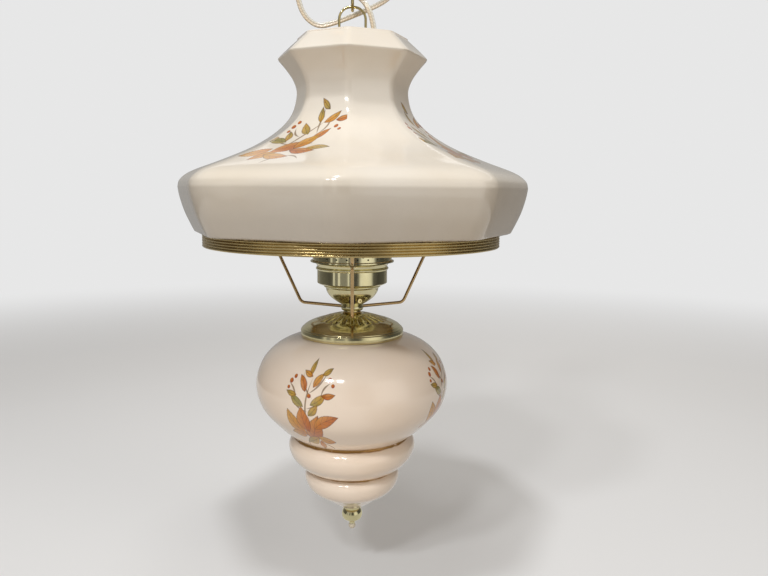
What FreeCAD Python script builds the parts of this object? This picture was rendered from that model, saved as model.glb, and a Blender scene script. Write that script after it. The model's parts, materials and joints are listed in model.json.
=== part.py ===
import FreeCAD, Part

import math
import os

os.makedirs("parts", exist_ok=True)

# A hanging lamp: a glazed ceramic shade on a ribbed brass ring, three bent wires that carry a brass
# burner and a ceramic font under it, a chain, a ceiling hook and a flat twin cord with its plug.
# Millimetres, +Z up. The origin is on the ceiling, where the hook's flange rests, and -Y is the front.

# Clearances
play = 0.3
snug = 0.05
running = 0.08
overrun = 5.0

# Ceiling hook
hook_wire_r = 2.5
hook_shank = 22.0
hook_flange_r = 9.0
hook_flange_thick = 2.0
hook_stem = 12.0
hook_bowl_r = 15.5
hook_bend_r = 8.0
hook_tip_deg = 150.0

# Chain
link_count = 5
link_length = 38.0
link_width = 22.0
link_wire_r = 1.5
link_play = 0.1

# Bail at the top of the lamp
bail_wire_r = 1.25
bail_half_width = 13.0
bail_corner_r = 11.5
bail_above_rim = 31.2
bail_tail = 7.0

# Shade: an octagon, its radii measured to the corners, and its outside as shares of radius and height
shade_height = 191.2
shade_r = 178.8
shade_wall = 6.0
shade_sides = 8
shade_turn_deg = -4.0
shade_foot_shares = ((0.880, 0.0), (0.915, 0.0))
shade_bell_shares = (
    (0.915, 0.0), (0.931, 0.035), (0.965, 0.108), (0.989, 0.179), (1.000, 0.238), (0.983, 0.280),
    (0.919, 0.321), (0.747, 0.380), (0.563, 0.451), (0.425, 0.531), (0.344, 0.615), (0.314, 0.717),
    (0.331, 0.784), (0.372, 0.841), (0.417, 0.891))
shade_chamfer_shares = ((0.417, 0.891), (0.302, 1.0))
shade_rim_shares = ((0.302, 1.0), (0.274, 1.0))

# Ring under the shade
ring_inset = 1.85
ring_height = 12.2
ring_wall = 1.6
ring_ledge_thick = 1.2
ring_lip_gap = 2.6
ring_lip_height = 5.0
ring_ribs = 5
ring_rib_depth = 0.9
lug_reach = 14.0
lug_width = 12.0
lug_thick = 1.6

# Frame wires, one of them in front
wire_count = 3
wire_r = 1.65
wire_arm_r = 63.5
wire_shoulder_inset = 41.5
wire_shoulder_drop = 26.0
wire_lug_drop = 17.0
wire_lug_rise = 12.0
wire_neck_r = 34.0
wire_neck_drop = 45.0
wire_bend_r = 8.0
wire_tail = 6.0

# Top hub in the shade's neck
hub_drop = 35.2
hub_r = 39.0
hub_thick = 3.0
hub_hole_x = 23.0
hub_hole_y = 6.0
hub_cord_drop = 34.0
hub_cord_mid = (11.0, -13.0, 25.0)
hub_cord_rise = 13.0

# Nuts
nut_across = 7.0
nut_height = 3.0
nut_sides = 6

# Arm hub under the burner
arm_drop = 77.0
arm_hub_r = 11.8
arm_hub_waist_r = 10.6
arm_hub_height = 5.6
arm_socket = 4.0

# Burner
burner_wall = 0.9
bowl_r = 27.2
bowl_height = 17.8
bead_r = 29.4
bead_height = 4.2
bead_step = 1.4
band_r = 36.0
band_height = 13.0
collar_r = 37.4
collar_height = 3.6
flare_r = 42.9
flare_height = 6.0
flare_lip = 1.2
bowl_shares = ((0.70, 0.31), (0.90, 0.60))
screw_deg = 19.0
screw_rise = 6.7
screw_r = 2.2
screw_length = 5.5
screw_face_r = 23.8
screw_recess_r = 1.0
screw_recess_depth = 1.2
gallery_r = 40.6
gallery_height = 14.0
gallery_wall = 0.8
gallery_seat_r = 31.0
gallery_holes = 24
gallery_hole_r = 1.7
gallery_dot_r = 0.9
gallery_dot_share = 0.25

# Chimney, its outside above the base as shares of its bulge radius and height
chimney_base_r = 38.0
chimney_height = 118.0
chimney_bulge_r = 40.5
chimney_top_r = 27.0
chimney_wall = 2.0
chimney_base_height = 12.0
chimney_bulge_share = 0.30
chimney_waist_share = 0.62

# Socket and bulb
socket_r = 17.0
socket_wall = 0.6
socket_height = 36.0
socket_cap_height = 8.0
liner_wall = 0.9
screw_shell_r = 14.6
screw_shell_wall = 0.5
screw_shell_height = 24.0
socket_floor = 3.0
bulb_base_r = 12.8
bulb_base_height = 25.0
bulb_thread_depth = 0.7
bulb_threads = 5
bulb_tip_r = 4.6
bulb_tip_height = 2.4
bulb_r = 23.5
bulb_height = 78.0
bulb_neck_r = 12.6
bulb_low_shares = ((0.590, 0.15), (1.0, 0.62))
bulb_high_shares = ((1.0, 0.62), (0.74, 0.91), (0.0, 1.0))
socket_cap_shares = ((0.60, 0.0), (0.90, 0.25), (1.0, 0.70))

# Neck spacer and vase cap, the cap's dome as shares of its radius and height
neck_top_r = 8.6
neck_foot_r = 10.8
neck_height = 3.4
neck_flare_share = 0.35
cap_r = 53.2
cap_height = 22.8
cap_band = 7.5
cap_wall = 0.9
cap_edge = 1.5
cap_dome_shares = (
    (0.925, 0.470), (0.810, 0.625), (0.660, 0.735), (0.520, 0.835), (0.380, 0.940), (0.230, 1.0))

# Font, its outside as shares of radius and height, from the foot up
font_r = 99.8
font_height = 187.8
font_wall = 5.0
font_hole_r = 6.0
font_foot_shares = ((0.134, 0.0), (0.245, 0.041), (0.317, 0.071))
font_low_ring_shares = ((0.317, 0.071), (0.404, 0.098), (0.470, 0.134), (0.501, 0.180), (0.446, 0.232))
font_high_ring_shares = ((0.446, 0.232), (0.556, 0.266), (0.634, 0.312), (0.668, 0.364), (0.598, 0.432))
font_bulb_shares = (
    (0.598, 0.432), (0.795, 0.518), (0.947, 0.616), (1.0, 0.736), (0.944, 0.843), (0.838, 0.915),
    (0.698, 0.963), (0.543, 0.989))
font_mouth_shares = ((0.543, 0.989), (0.400, 1.0))
font_seat_share = 0.006
plate_r = 44.0
plate_thick = 1.5

# Centre pipe, its nuts and the finial
pipe_r = 4.8
pipe_bore_r = 3.4
pipe_above_bowl = 7.0
lock_nut_across = 16.0
lock_nut_height = 3.0
foot_washer_r = 10.5
foot_washer_thick = 1.6
finial_r = 11.0
finial_height = 20.0
finial_neck_r = 3.2
finial_bore_depth = 9.0
finial_shares = ((0.41, 0.14), (0.86, 0.30), (1.0, 0.55), (0.73, 0.86))
finial_collar_shares = ((0.73, 0.86), (0.73, 1.0))
pipe_end_gap = 1.0
tip_r = 3.8
tip_seat_share = 0.8

# Cord: a flat twin flex, its width taken as its diameter
cord_d = 5.2
cord_arc_share = 0.45
bushing_flange = 2.0
bushing_flange_thick = 1.0
bushing_wall = 0.8
cord_entry_rise = 6.6
cord_entry_r = 19.0
cord_entry_run = 14.0
cord_foot_r = 9.4
cord_lug_gap = 0.9
bushing_length = 9.0
clip_thick = 0.5
clip_width = 4.0
clip_gap = 0.1
clip_run_shares = ((2, 0.4), (4, 0.3), (4, 0.75))

# Coil of spare cord behind the chain
coil_r = 48.3
coil_pitch = 6.6
coil_layer_pitch = 5.8
coil_layers = 4
coil_turns_in_layer = 3
coil_start_deg = 250.0
coil_exit_r = 49.6
coil_behind_chain = 1.4
coil_lead = 25.0

# Ties
tie_thick = 0.8
tie_width = 3.0
tie_corner_r = 2.0
tie_x = 5.0
plug_tie_drop = 11.0

# Plug
plug_width = 19.0
plug_depth = 12.0
plug_length = 26.0
plug_round = 2.5
plug_nose = 9.0
plug_nose_r = 3.8
plug_rise = 2.0
blade_width = 6.4
blade_thick = 1.5
blade_length = 16.0
blade_apart = 12.7
blade_root = 6.0

V = FreeCAD.Vector
UP = V(0, 0, 1)
FRONT = V(0, -1, 0)
FRONT_DEG = -90.0

# The shade's ring, inside the flats of its foot
shade_flat_r = shade_r * math.cos(math.pi / shade_sides)
ring_r = shade_flat_r * shade_foot_shares[1][0] - ring_inset
ring_ledge_r = shade_flat_r * shade_foot_shares[0][0] - ring_lip_gap - ring_ledge_thick
wire_lug_r = ring_ledge_r - lug_reach + lug_width / 2
wire_shoulder_r = wire_lug_r - wire_shoulder_inset

# Heights and places, from the ceiling downwards
hook_bowl_z = -hook_stem - math.sqrt(hook_bowl_r ** 2 + 2 * hook_bowl_r * hook_bend_r)
hook_low_z = hook_bowl_z - hook_bowl_r
link_reach = link_length / 2 - link_wire_r
link_pitch = 2 * link_reach - 2 * link_wire_r - link_play
first_link_z = hook_low_z + hook_wire_r + link_wire_r + play - link_reach
last_bow_z = first_link_z - (link_count - 1) * link_pitch - link_reach
bail_wire_z = last_bow_z + link_wire_r + bail_wire_r + play
shade_top_z = bail_wire_z + bail_wire_r - bail_above_rim
seat_z = shade_top_z - shade_height
hub_z = shade_top_z - hub_drop
hub_top_z = hub_z + hub_thick
arm_z = seat_z - arm_drop
bowl_z = arm_z + arm_hub_height / 2
band_z = bowl_z + bowl_height + bead_height + bead_step
flare_z = band_z + band_height + collar_height
cup_top_z = flare_z + flare_height
neck_z = arm_z - arm_hub_height / 2 - neck_height
cap_top_z = neck_z
cap_foot_z = cap_top_z - cap_height
font_top_z = cap_foot_z + play + font_height * font_seat_share
font_foot_z = font_top_z - font_height
washer_z = font_foot_z - foot_washer_thick
finial_top_z = washer_z - play
finial_foot_z = finial_top_z - finial_height
pipe_top_z = bowl_z + pipe_above_bowl
pipe_foot_z = finial_top_z - finial_bore_depth + pipe_end_gap
socket_z = bowl_z + burner_wall + lock_nut_height
cord_r = cord_d / 2
cap_bore_r = pipe_r + play
bushing_outer_r = cord_r + snug + bushing_wall
cord_entry_z = bowl_z + cord_entry_rise
screw_z = bowl_z + screw_rise
screw_way = V(math.sin(math.radians(screw_deg)), -math.cos(math.radians(screw_deg)), 0)

nodes = {}


def save(name, shape):
    """Keep a sub-part under its node's name."""
    if not shape.isValid() or shape.Volume <= 0:
        print("bad solid", name, shape.Volume)
    nodes[name] = shape


def cylinder(r, height, x=0.0, y=0.0, z=0.0):
    return Part.makeCylinder(r, height, V(x, y, z))


def spline(points):
    curve = Part.BSplineCurve()
    curve.interpolate(points)
    return curve.toShape()


def run_edges(points):
    """One stretch of an outline: a line through two points, a smooth curve through more."""
    if len(points) == 2:
        return [Part.LineSegment(points[0], points[1]).toShape()]
    return [spline(points)]


def outline_face(runs):
    """A face in the XZ plane from stretches of (radius, height) points, closed by a line."""
    edges = []
    for run in runs:
        edges += run_edges([V(r, 0, z) for r, z in run])
    first = V(runs[0][0][0], 0, runs[0][0][1])
    last = V(runs[-1][-1][0], 0, runs[-1][-1][1])
    if not first.isEqual(last, snug / 1000):
        edges.append(Part.LineSegment(last, first).toShape())
    return Part.Face(Part.Wire(edges))


def turned(runs):
    """A solid of revolution about Z."""
    return outline_face(runs).revolve(V(0, 0, 0), UP, 360)


def mitred(points, wall):
    """The points of an outline, drawn upwards, moved one wall inwards, with mitred corners."""
    inner = []
    for i, (r, z) in enumerate(points):
        before = points[max(i - 1, 0)]
        after = points[min(i + 1, len(points) - 1)]
        one = V(r - before[0], 0, z - before[1])
        two = V(after[0] - r, 0, after[1] - z)
        one = two if one.Length == 0 else one
        two = one if two.Length == 0 else two
        one.normalize()
        two.normalize()
        middle = (one + two).normalize()
        reach = wall / middle.dot(one)
        inner.append((r - middle.z * reach, z + middle.x * reach))
    return inner


def wall_face(runs, wall):
    """The face between an outline, drawn upwards, and its copy one wall further in."""
    points = [runs[0][0]]
    breaks = [0]
    for run in runs:
        points += list(run)[1:]
        breaks.append(len(points) - 1)
    inner = mitred(points, wall)
    back = []
    for start, end in zip(breaks[:-1], breaks[1:]):
        back.insert(0, list(reversed(inner[start:end + 1])))
    return outline_face(list(runs) + [[points[-1], inner[-1]]] + back)


def spun(runs, wall):
    """A thin shell of revolution, one wall thick inside its outline."""
    return wall_face(runs, wall).revolve(V(0, 0, 0), UP, 360)


def scaled(shares, r, height, z):
    return [(share_r * r, z + share_z * height) for share_r, share_z in shares]


def bent_path(points, bend_r=None, label=None, held=None):
    """Straight runs joined by tangent arcs, of one radius or as large as each pair of runs allows.

    held gives a corner its own radius by its number, where something holds the cord in its bend.
    """
    runs = [(b - a) for a, b in zip(points[:-1], points[1:])]
    edges = []
    at = points[0]
    radii = []
    for i in range(1, len(points) - 1):
        one = V(runs[i - 1]).normalize()
        two = V(runs[i]).normalize()
        half_turn = one.getAngle(two) / 2
        if bend_r is None:
            radius = cord_arc_share * min(runs[i - 1].Length, runs[i].Length) / math.tan(half_turn)
        else:
            radius = bend_r
        if held and i in held:
            radius = held[i]
        radii.append(radius)
        reach = radius * math.tan(half_turn)
        start = points[i] - one * reach
        end = points[i] + two * reach
        inward = (two - one).normalize()
        middle = points[i] + inward * (radius / math.cos(half_turn) - radius)
        edges.append(Part.LineSegment(at, start).toShape())
        edges.append(Part.Arc(start, middle, end).toShape())
        at = end
    edges.append(Part.LineSegment(at, points[-1]).toShape())
    if label:
        print(label, "arc radii", [round(radius, 1) for radius in radii], "least", round(min(radii), 1))
    return Part.Wire(edges)


def tube(path, r):
    """A round bar along a path."""
    first = path.Edges[0]
    at = path.OrderedVertexes[0].Point
    heading = first.tangentAt(first.FirstParameter)
    if at.distanceToPoint(first.valueAt(first.FirstParameter)) > snug:
        heading = first.tangentAt(first.LastParameter) * -1
    ring = Part.Wire(Part.Circle(at, heading, r).toShape())
    return path.makePipeShell([ring], True, False)


def cord_tube(points, label, held=None):
    """A cord's tube, its volume set against section times length."""
    path = bent_path(points, label=label, held=held)
    solid = tube(path, cord_r)
    expected = math.pi * cord_r ** 2 * path.Length
    print(label, "length", round(path.Length, 1), "volume ratio", round(solid.Volume / expected, 4))
    return solid


def around(shape, count, first_deg=0.0):
    """Copies of a shape at even angles about Z."""
    copies = []
    for i in range(count):
        copy = shape.copy()
        copy.rotate(V(0, 0, 0), UP, first_deg + 360.0 * i / count)
        copies.append(copy)
    return copies


def prism(across, height, x, y, z, sides=nut_sides):
    """An upright regular prism, given across its flats."""
    r = across / 2 / math.cos(math.pi / sides)
    corners = []
    for i in range(sides + 1):
        angle = 2 * math.pi * i / sides
        corners.append(V(x + r * math.cos(angle), y + r * math.sin(angle), z))
    return Part.Face(Part.makePolygon(corners)).extrude(V(0, 0, height))


def nut(x, y, z, bore_r, across=nut_across, height=nut_height):
    bore = cylinder(bore_r, height + 2 * overrun, x, y, z - overrun)
    return prism(across, height, x, y, z).cut(bore)


def rounded_band(half_a, half_b, corner_r, width, thick):
    """A closed strap about Z: outside of a rounded rectangle, less its inside."""
    def block(a, b, r):
        box = Part.makeBox(2 * a, 2 * b, width, V(-a, -b, -width / 2))
        upright = [e for e in box.Edges if abs(e.tangentAt(e.FirstParameter).z) > 0.99]
        return box.makeFillet(r, upright)
    outside = block(half_a + thick, half_b + thick, corner_r + thick)
    return outside.cut(block(half_a, half_b, corner_r))


# Ceiling hook
def make_hook():
    tip = math.radians(hook_tip_deg)
    joint_angle = math.atan2(-hook_stem - hook_bowl_z, hook_bend_r)
    top = V(0, 0, hook_shank)
    stem_foot = V(0, 0, -hook_stem)
    bend_centre = V(hook_bend_r, 0, -hook_stem)
    joint = V(hook_bowl_r * math.cos(joint_angle), 0, hook_bowl_z + hook_bowl_r * math.sin(joint_angle))
    bend_mid_angle = math.pi + joint_angle / 2
    bend_mid = bend_centre + V(math.cos(bend_mid_angle), 0, math.sin(bend_mid_angle)) * hook_bend_r
    end_angle = tip - 2 * math.pi
    mid_angle = (joint_angle + end_angle) / 2
    mid = V(hook_bowl_r * math.cos(mid_angle), 0, hook_bowl_z + hook_bowl_r * math.sin(mid_angle))
    end = V(hook_bowl_r * math.cos(end_angle), 0, hook_bowl_z + hook_bowl_r * math.sin(end_angle))
    path = Part.Wire([
        Part.LineSegment(top, stem_foot).toShape(),
        Part.Arc(stem_foot, bend_mid, joint).toShape(),
        Part.Arc(joint, mid, end).toShape()])
    wire = tube(path, hook_wire_r)
    flange = cylinder(hook_flange_r, hook_flange_thick, z=-hook_flange_thick)
    return wire.fuse([flange, Part.makeSphere(hook_wire_r, end)]).removeSplitter()


def make_link():
    """A link in the XZ plane, about the origin."""
    r = link_width / 2 - link_wire_r
    straight = link_length / 2 - link_width / 2
    corners = [V(r, 0, -straight), V(r, 0, straight), V(-r, 0, straight), V(-r, 0, -straight)]
    path = Part.Wire([
        Part.LineSegment(corners[0], corners[1]).toShape(),
        Part.Arc(corners[1], V(0, 0, straight + r), corners[2]).toShape(),
        Part.LineSegment(corners[2], corners[3]).toShape(),
        Part.Arc(corners[3], V(0, 0, -straight - r), corners[0]).toShape()])
    return tube(path, link_wire_r)


def make_chain():
    for i in range(link_count):
        link = make_link()
        if i % 2 == 0:
            link.rotate(V(0, 0, 0), UP, 90)
        link.translate(V(0, 0, first_link_z - i * link_pitch))
        save("chain_link_%d" % (i + 1), link)


# Bail, top hub and their nuts
def make_top():
    foot_z = hub_z - bail_tail
    path = bent_path([
        V(-bail_half_width, 0, foot_z), V(-bail_half_width, 0, bail_wire_z),
        V(bail_half_width, 0, bail_wire_z), V(bail_half_width, 0, foot_z)], bail_corner_r)
    save("top_bail", tube(path, bail_wire_r))
    plate = cylinder(hub_r, hub_thick, z=hub_z)
    below = hub_z - overrun / 2
    holes = around(cylinder(wire_r + snug, 2 * overrun, y=-wire_neck_r, z=below), wire_count)
    for x in (-bail_half_width, bail_half_width):
        holes.append(cylinder(bail_wire_r + snug, 2 * overrun, x=x, z=below))
    holes.append(cylinder(bushing_outer_r + snug, 2 * overrun, hub_hole_x, hub_hole_y, below))
    save("top_hub", plate.cut(holes))
    wire_nut = nut(0, -wire_neck_r, 0, wire_r + snug)
    nuts = []
    for z in (hub_z - nut_height, hub_top_z):
        for copy in around(wire_nut, wire_count):
            nuts.append(copy.translated(V(0, 0, z)))
    save("hub_nuts", Part.makeCompound(nuts))
    bail_nuts = []
    for x in (-bail_half_width, bail_half_width):
        for z in (hub_z - nut_height, hub_top_z):
            bail_nuts.append(nut(x, 0, z, bail_wire_r + snug))
    save("bail_nuts", Part.makeCompound(bail_nuts))


def make_hub_bushing():
    top = hub_top_z + bushing_flange_thick
    sleeve = cylinder(bushing_outer_r, hub_thick + bushing_flange_thick, hub_hole_x, hub_hole_y, hub_z)
    flange_r = bushing_outer_r + bushing_flange
    flange = cylinder(flange_r, bushing_flange_thick, hub_hole_x, hub_hole_y, hub_top_z)
    bore = cylinder(cord_r + snug, top - hub_z + 2 * overrun, hub_hole_x, hub_hole_y, hub_z - overrun)
    save("hub_bushing", sleeve.fuse(flange).cut(bore))


# Shade
def make_shade():
    runs = []
    for shares in (shade_foot_shares, shade_bell_shares, shade_chamfer_shares, shade_rim_shares):
        runs.append(scaled(shares, shade_flat_r, shade_height, seat_z))
    facet = wall_face(runs, shade_wall)
    half_facet = shade_r * math.tan(math.pi / shade_sides)
    slab = facet.extrude(V(0, 2 * half_facet, 0)).translated(V(0, -half_facet, 0))
    far = shade_r + overrun
    side = far * math.tan(math.pi / shade_sides)
    low = seat_z - overrun
    corners = [V(0, 0, low), V(far, -side, low), V(far, side, low), V(0, 0, low)]
    wedge = Part.Face(Part.makePolygon(corners)).extrude(V(0, 0, shade_height + 2 * overrun))
    piece = slab.common(wedge)
    pieces = around(piece, shade_sides, FRONT_DEG + 180.0 / shade_sides + shade_turn_deg)
    return pieces[0].multiFuse(pieces[1:]).removeSplitter()


# Ring under the shade
def make_ring():
    inside_r = ring_r - ring_wall
    groove_r = ring_r - ring_rib_depth
    rib = ring_height / ring_ribs
    runs = []
    for i in range(ring_ribs):
        z = seat_z - ring_height + i * rib
        runs.append([(groove_r, z), (ring_r, z + rib / 2), (groove_r, z + rib)])
    lip_r = ring_ledge_r + ring_ledge_thick
    lip_z = seat_z + ring_lip_height
    under_z = seat_z - ring_ledge_thick
    corners = (
        (groove_r, seat_z), (lip_r, seat_z), (lip_r, lip_z), (ring_ledge_r, lip_z), (ring_ledge_r, under_z),
        (inside_r, under_z), (inside_r, seat_z - ring_height))
    runs += [[a, b] for a, b in zip(corners[:-1], corners[1:])]
    ring = turned(runs)
    lug_z = seat_z - lug_thick
    arm = Part.makeBox(lug_width, lip_r - wire_lug_r, lug_thick, V(-lug_width / 2, -lip_r, lug_z))
    end = cylinder(lug_width / 2, lug_thick, y=-wire_lug_r, z=lug_z)
    hole = cylinder(wire_r + snug, 2 * overrun, y=-wire_lug_r, z=seat_z - overrun)
    lug = arm.fuse(end)
    ring = ring.fuse(around(lug, wire_count))
    return ring.cut(around(hole, wire_count)).removeSplitter()


# Frame wires
def wire_points():
    """One wire in its own plane, as (radius, height) from the arm hub to the top hub."""
    return (
        (arm_hub_r - arm_socket, arm_z), (wire_arm_r, arm_z),
        (wire_shoulder_r, seat_z - wire_shoulder_drop), (wire_lug_r, seat_z - wire_lug_drop),
        (wire_lug_r, seat_z + wire_lug_rise), (wire_neck_r, hub_z - wire_neck_drop),
        (wire_neck_r, hub_top_z + nut_height + wire_tail))


def make_frame():
    points = [V(0, -r, z) for r, z in wire_points()]
    wire = tube(bent_path(points, wire_bend_r), wire_r)
    for i, copy in enumerate(around(wire, wire_count)):
        save("frame_wire_%d" % (i + 1), copy)
    upper = nut(0, -wire_lug_r, seat_z, wire_r + snug)
    lower = nut(0, -wire_lug_r, seat_z - lug_thick - nut_height, wire_r + snug)
    save("ring_nuts_upper", Part.makeCompound(around(upper, wire_count)))
    save("ring_nuts_lower", Part.makeCompound(around(lower, wire_count)))


def make_arm_hub():
    foot = arm_z - arm_hub_height / 2
    top = arm_z + arm_hub_height / 2
    bore_r = pipe_r + snug
    hub = turned([
        [(bore_r, foot), (arm_hub_waist_r, foot)],
        [(arm_hub_waist_r, foot), (arm_hub_r, arm_z), (arm_hub_waist_r, top)],
        [(arm_hub_waist_r, top), (bore_r, top)]])
    hole = Part.makeCylinder(wire_r + snug, arm_socket + overrun, V(0, -arm_hub_r + arm_socket, arm_z), FRONT)
    return hub.cut(around(hole, wire_count))


# Burner
def make_burner():
    bowl_top = bowl_z + bowl_height
    bead_top = bowl_top + bead_height
    neck_in = bowl_r + snug
    bowl = [(cap_bore_r, bowl_z), (arm_hub_waist_r, bowl_z)]
    curve = [(arm_hub_waist_r, bowl_z)] + scaled(bowl_shares, bowl_r, bowl_height, bowl_z)
    runs = [
        bowl, curve + [(bowl_r, bowl_top)],
        [(bowl_r, bowl_top), (bead_r, bowl_top + bead_height / 2), (neck_in, bead_top)],
        [(neck_in, bead_top), (band_r - bead_step, bead_top + bead_step / 4), (band_r, band_z)],
        [(band_r, band_z), (band_r, band_z + band_height)],
        [(band_r, band_z + band_height), (collar_r, flare_z - collar_height / 2), (band_r, flare_z)],
        [(band_r, flare_z), (collar_r, flare_z + flare_height / 2), (flare_r, cup_top_z - flare_lip)],
        [(flare_r, cup_top_z - flare_lip), (flare_r, cup_top_z)]]
    cup = spun(runs, burner_wall)
    entry = Part.makeCylinder(bushing_outer_r + snug, bowl_r, V(0, -pipe_r * 2, cord_entry_z), FRONT)
    screw_foot = screw_way * (screw_face_r - screw_length) + V(0, 0, screw_z)
    screw_hole = Part.makeCylinder(screw_r + snug, bowl_r, screw_foot, screw_way)
    save("burner_cup", cup.cut([entry, screw_hole]))
    start = cord_entry_r - bushing_flange
    sleeve = Part.makeCylinder(bushing_outer_r, bushing_length, V(0, -start, cord_entry_z), FRONT)
    bore = Part.makeCylinder(cord_r + snug, 2 * bushing_length, V(0, -start + overrun, cord_entry_z), FRONT)
    save("bowl_bushing", sleeve.cut(bore))
    screw = Part.makeCylinder(screw_r, screw_length, screw_foot, screw_way)
    recess_foot = screw_way * (screw_face_r - screw_recess_depth) + V(0, 0, screw_z)
    recess = Part.makeCylinder(screw_recess_r, screw_length, recess_foot, screw_way)
    save("bowl_screw", screw.cut(recess))


def make_gallery():
    top = cup_top_z + gallery_height
    wall_in = gallery_r - gallery_wall
    gallery = turned([
        [(gallery_seat_r, cup_top_z), (gallery_r + gallery_wall, cup_top_z)],
        [(gallery_r + gallery_wall, cup_top_z), (gallery_r, cup_top_z + gallery_wall)],
        [(gallery_r, cup_top_z + gallery_wall), (gallery_r, top)],
        [(gallery_r, top), (wall_in, top)],
        [(wall_in, top), (wall_in, cup_top_z + gallery_wall)],
        [(wall_in, cup_top_z + gallery_wall), (gallery_seat_r, cup_top_z + gallery_wall)]])
    middle = cup_top_z + gallery_height / 2
    step = gallery_height * gallery_dot_share
    inside_y = -wall_in + overrun / 2
    drill = gallery_wall + overrun
    hole = Part.makeCylinder(gallery_hole_r, drill, V(0, inside_y, middle), FRONT)
    cuts = around(hole, gallery_holes)
    for z in (middle - step, middle, middle + step):
        dot = Part.makeCylinder(gallery_dot_r, drill, V(0, inside_y, z), FRONT)
        cuts += around(dot, gallery_holes, 180.0 / gallery_holes)
    save("burner_gallery", gallery.cut(cuts))


def make_chimney():
    foot = cup_top_z + gallery_wall + play
    top = foot + chimney_height
    bulge_z = foot + chimney_height * chimney_bulge_share
    waist_z = foot + chimney_height * chimney_waist_share
    waist_r = chimney_top_r + chimney_wall
    return spun([
        [(chimney_base_r, foot), (chimney_base_r, foot + chimney_base_height)],
        [(chimney_base_r, foot + chimney_base_height), (chimney_bulge_r, bulge_z), (waist_r, waist_z),
         (chimney_top_r, top)]], chimney_wall)


# Socket and bulb
def make_socket():
    cap_top = socket_z + socket_cap_height
    shell_top = cap_top + socket_height
    curve = scaled(socket_cap_shares, socket_r, socket_cap_height, socket_z)
    runs = [[(pipe_r + snug, socket_z), curve[0]], curve, [curve[-1], (socket_r, cap_top)]]
    cap = spun(runs, 2 * socket_wall)
    entry = Part.makeCylinder(cord_r + snug, socket_r, V(0, 0, cord_entry_z), FRONT)
    save("socket_cap", cap.cut(entry))
    save("socket_shell", cylinder(socket_r, socket_height, z=cap_top).cut(
        cylinder(socket_r - socket_wall, socket_height + overrun, z=cap_top - overrun / 2)))
    liner_r = socket_r - socket_wall
    save("socket_liner", cylinder(liner_r, socket_height, z=cap_top).cut(
        cylinder(liner_r - liner_wall, socket_height + overrun, z=cap_top - overrun / 2)))
    block_r = liner_r - liner_wall - snug
    block_height = socket_height - screw_shell_height - socket_floor
    save("socket_core", cylinder(block_r, block_height, z=cap_top))
    shell_z = cap_top + block_height
    shell = cylinder(screw_shell_r, screw_shell_height, z=shell_z)
    save("screw_shell", shell.cut(
        cylinder(screw_shell_r - screw_shell_wall, screw_shell_height, z=shell_z + screw_shell_wall)))
    return shell_z + screw_shell_wall


def make_bulb(floor_z):
    tip_z = floor_z + play
    base_z = tip_z + bulb_tip_height
    thread = (bulb_base_height - bulb_tip_height) / bulb_threads
    runs = [[(0, tip_z), (bulb_tip_r, tip_z)], [(bulb_tip_r, tip_z), (bulb_base_r, base_z)]]
    for i in range(bulb_threads):
        z = base_z + i * thread
        runs.append([(bulb_base_r, z), (bulb_base_r + bulb_thread_depth, z + thread / 2),
                     (bulb_base_r, z + thread)])
    top = base_z + bulb_threads * thread
    runs.append([(bulb_base_r, top), (0, top)])
    save("bulb_base", turned(runs))
    neck = (bulb_neck_r, top)
    low = scaled(bulb_low_shares, bulb_r, bulb_height, top)
    high = scaled(bulb_high_shares, bulb_r, bulb_height, top)
    save("bulb_glass", turned([[(0, top), neck], [neck] + low, high]))


# Neck spacer, vase cap and font
def make_lower():
    neck_top = neck_z + neck_height
    bore_r = pipe_r + snug
    middle_r = neck_top_r + (neck_foot_r - neck_top_r) * neck_flare_share
    middle = (middle_r, neck_z + neck_height * neck_flare_share)
    save("neck_spacer", turned([
        [(bore_r, neck_z), (neck_foot_r, neck_z)], [(neck_foot_r, neck_z), middle, (neck_top_r, neck_top)],
        [(neck_top_r, neck_top), (bore_r, neck_top)]]))
    band_top = cap_foot_z + cap_band
    edge = (cap_r - cap_edge, band_top + cap_edge)
    dome = [edge] + scaled(cap_dome_shares, cap_r, cap_height, cap_foot_z)
    save("vase_cap", spun([
        [(cap_r, cap_foot_z), (cap_r, band_top)], [(cap_r, band_top), edge],
        dome, [dome[-1], (cap_bore_r, cap_top_z)]], cap_wall))
    runs = []
    for shares in (font_foot_shares, font_low_ring_shares, font_high_ring_shares, font_bulb_shares,
                   font_mouth_shares):
        runs.append(scaled(shares, font_r, font_height, font_foot_z))
    runs.insert(0, [(font_hole_r, font_foot_z), runs[0][0]])
    save("font", spun(runs, font_wall))
    save("font_plate", cylinder(plate_r, plate_thick, z=font_top_z).cut(
        cylinder(pipe_r + snug, 2 * overrun, z=font_top_z - overrun)))


# Centre pipe, nuts, washer and finial
def make_pipe():
    length = pipe_top_z - pipe_foot_z
    save("centre_pipe", cylinder(pipe_r, length, z=pipe_foot_z).cut(
        cylinder(pipe_bore_r, length + 2 * overrun, z=pipe_foot_z - overrun)))
    save("lock_nut", nut(0, 0, bowl_z + burner_wall, pipe_r + snug, lock_nut_across, lock_nut_height))
    save("foot_washer", cylinder(foot_washer_r, foot_washer_thick, z=washer_z).cut(
        cylinder(pipe_r + snug, foot_washer_thick + 2 * overrun, z=washer_z - overrun)))
    foot = (finial_neck_r, finial_foot_z)
    curve = [foot] + scaled(finial_shares, finial_r, finial_height, finial_foot_z)
    collar = scaled(finial_collar_shares, finial_r, finial_height, finial_foot_z)
    body = turned([[(0, finial_foot_z), foot], curve, collar, [collar[-1], (0, finial_top_z)]])
    bore = cylinder(pipe_r + running, finial_bore_depth + overrun, z=finial_top_z - finial_bore_depth)
    save("finial", body.cut(bore))
    ball = Part.makeSphere(tip_r, V(0, 0, finial_foot_z - tip_r * tip_seat_share))
    save("finial_tip", ball.cut(cylinder(tip_r, tip_r, z=finial_foot_z)))


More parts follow.
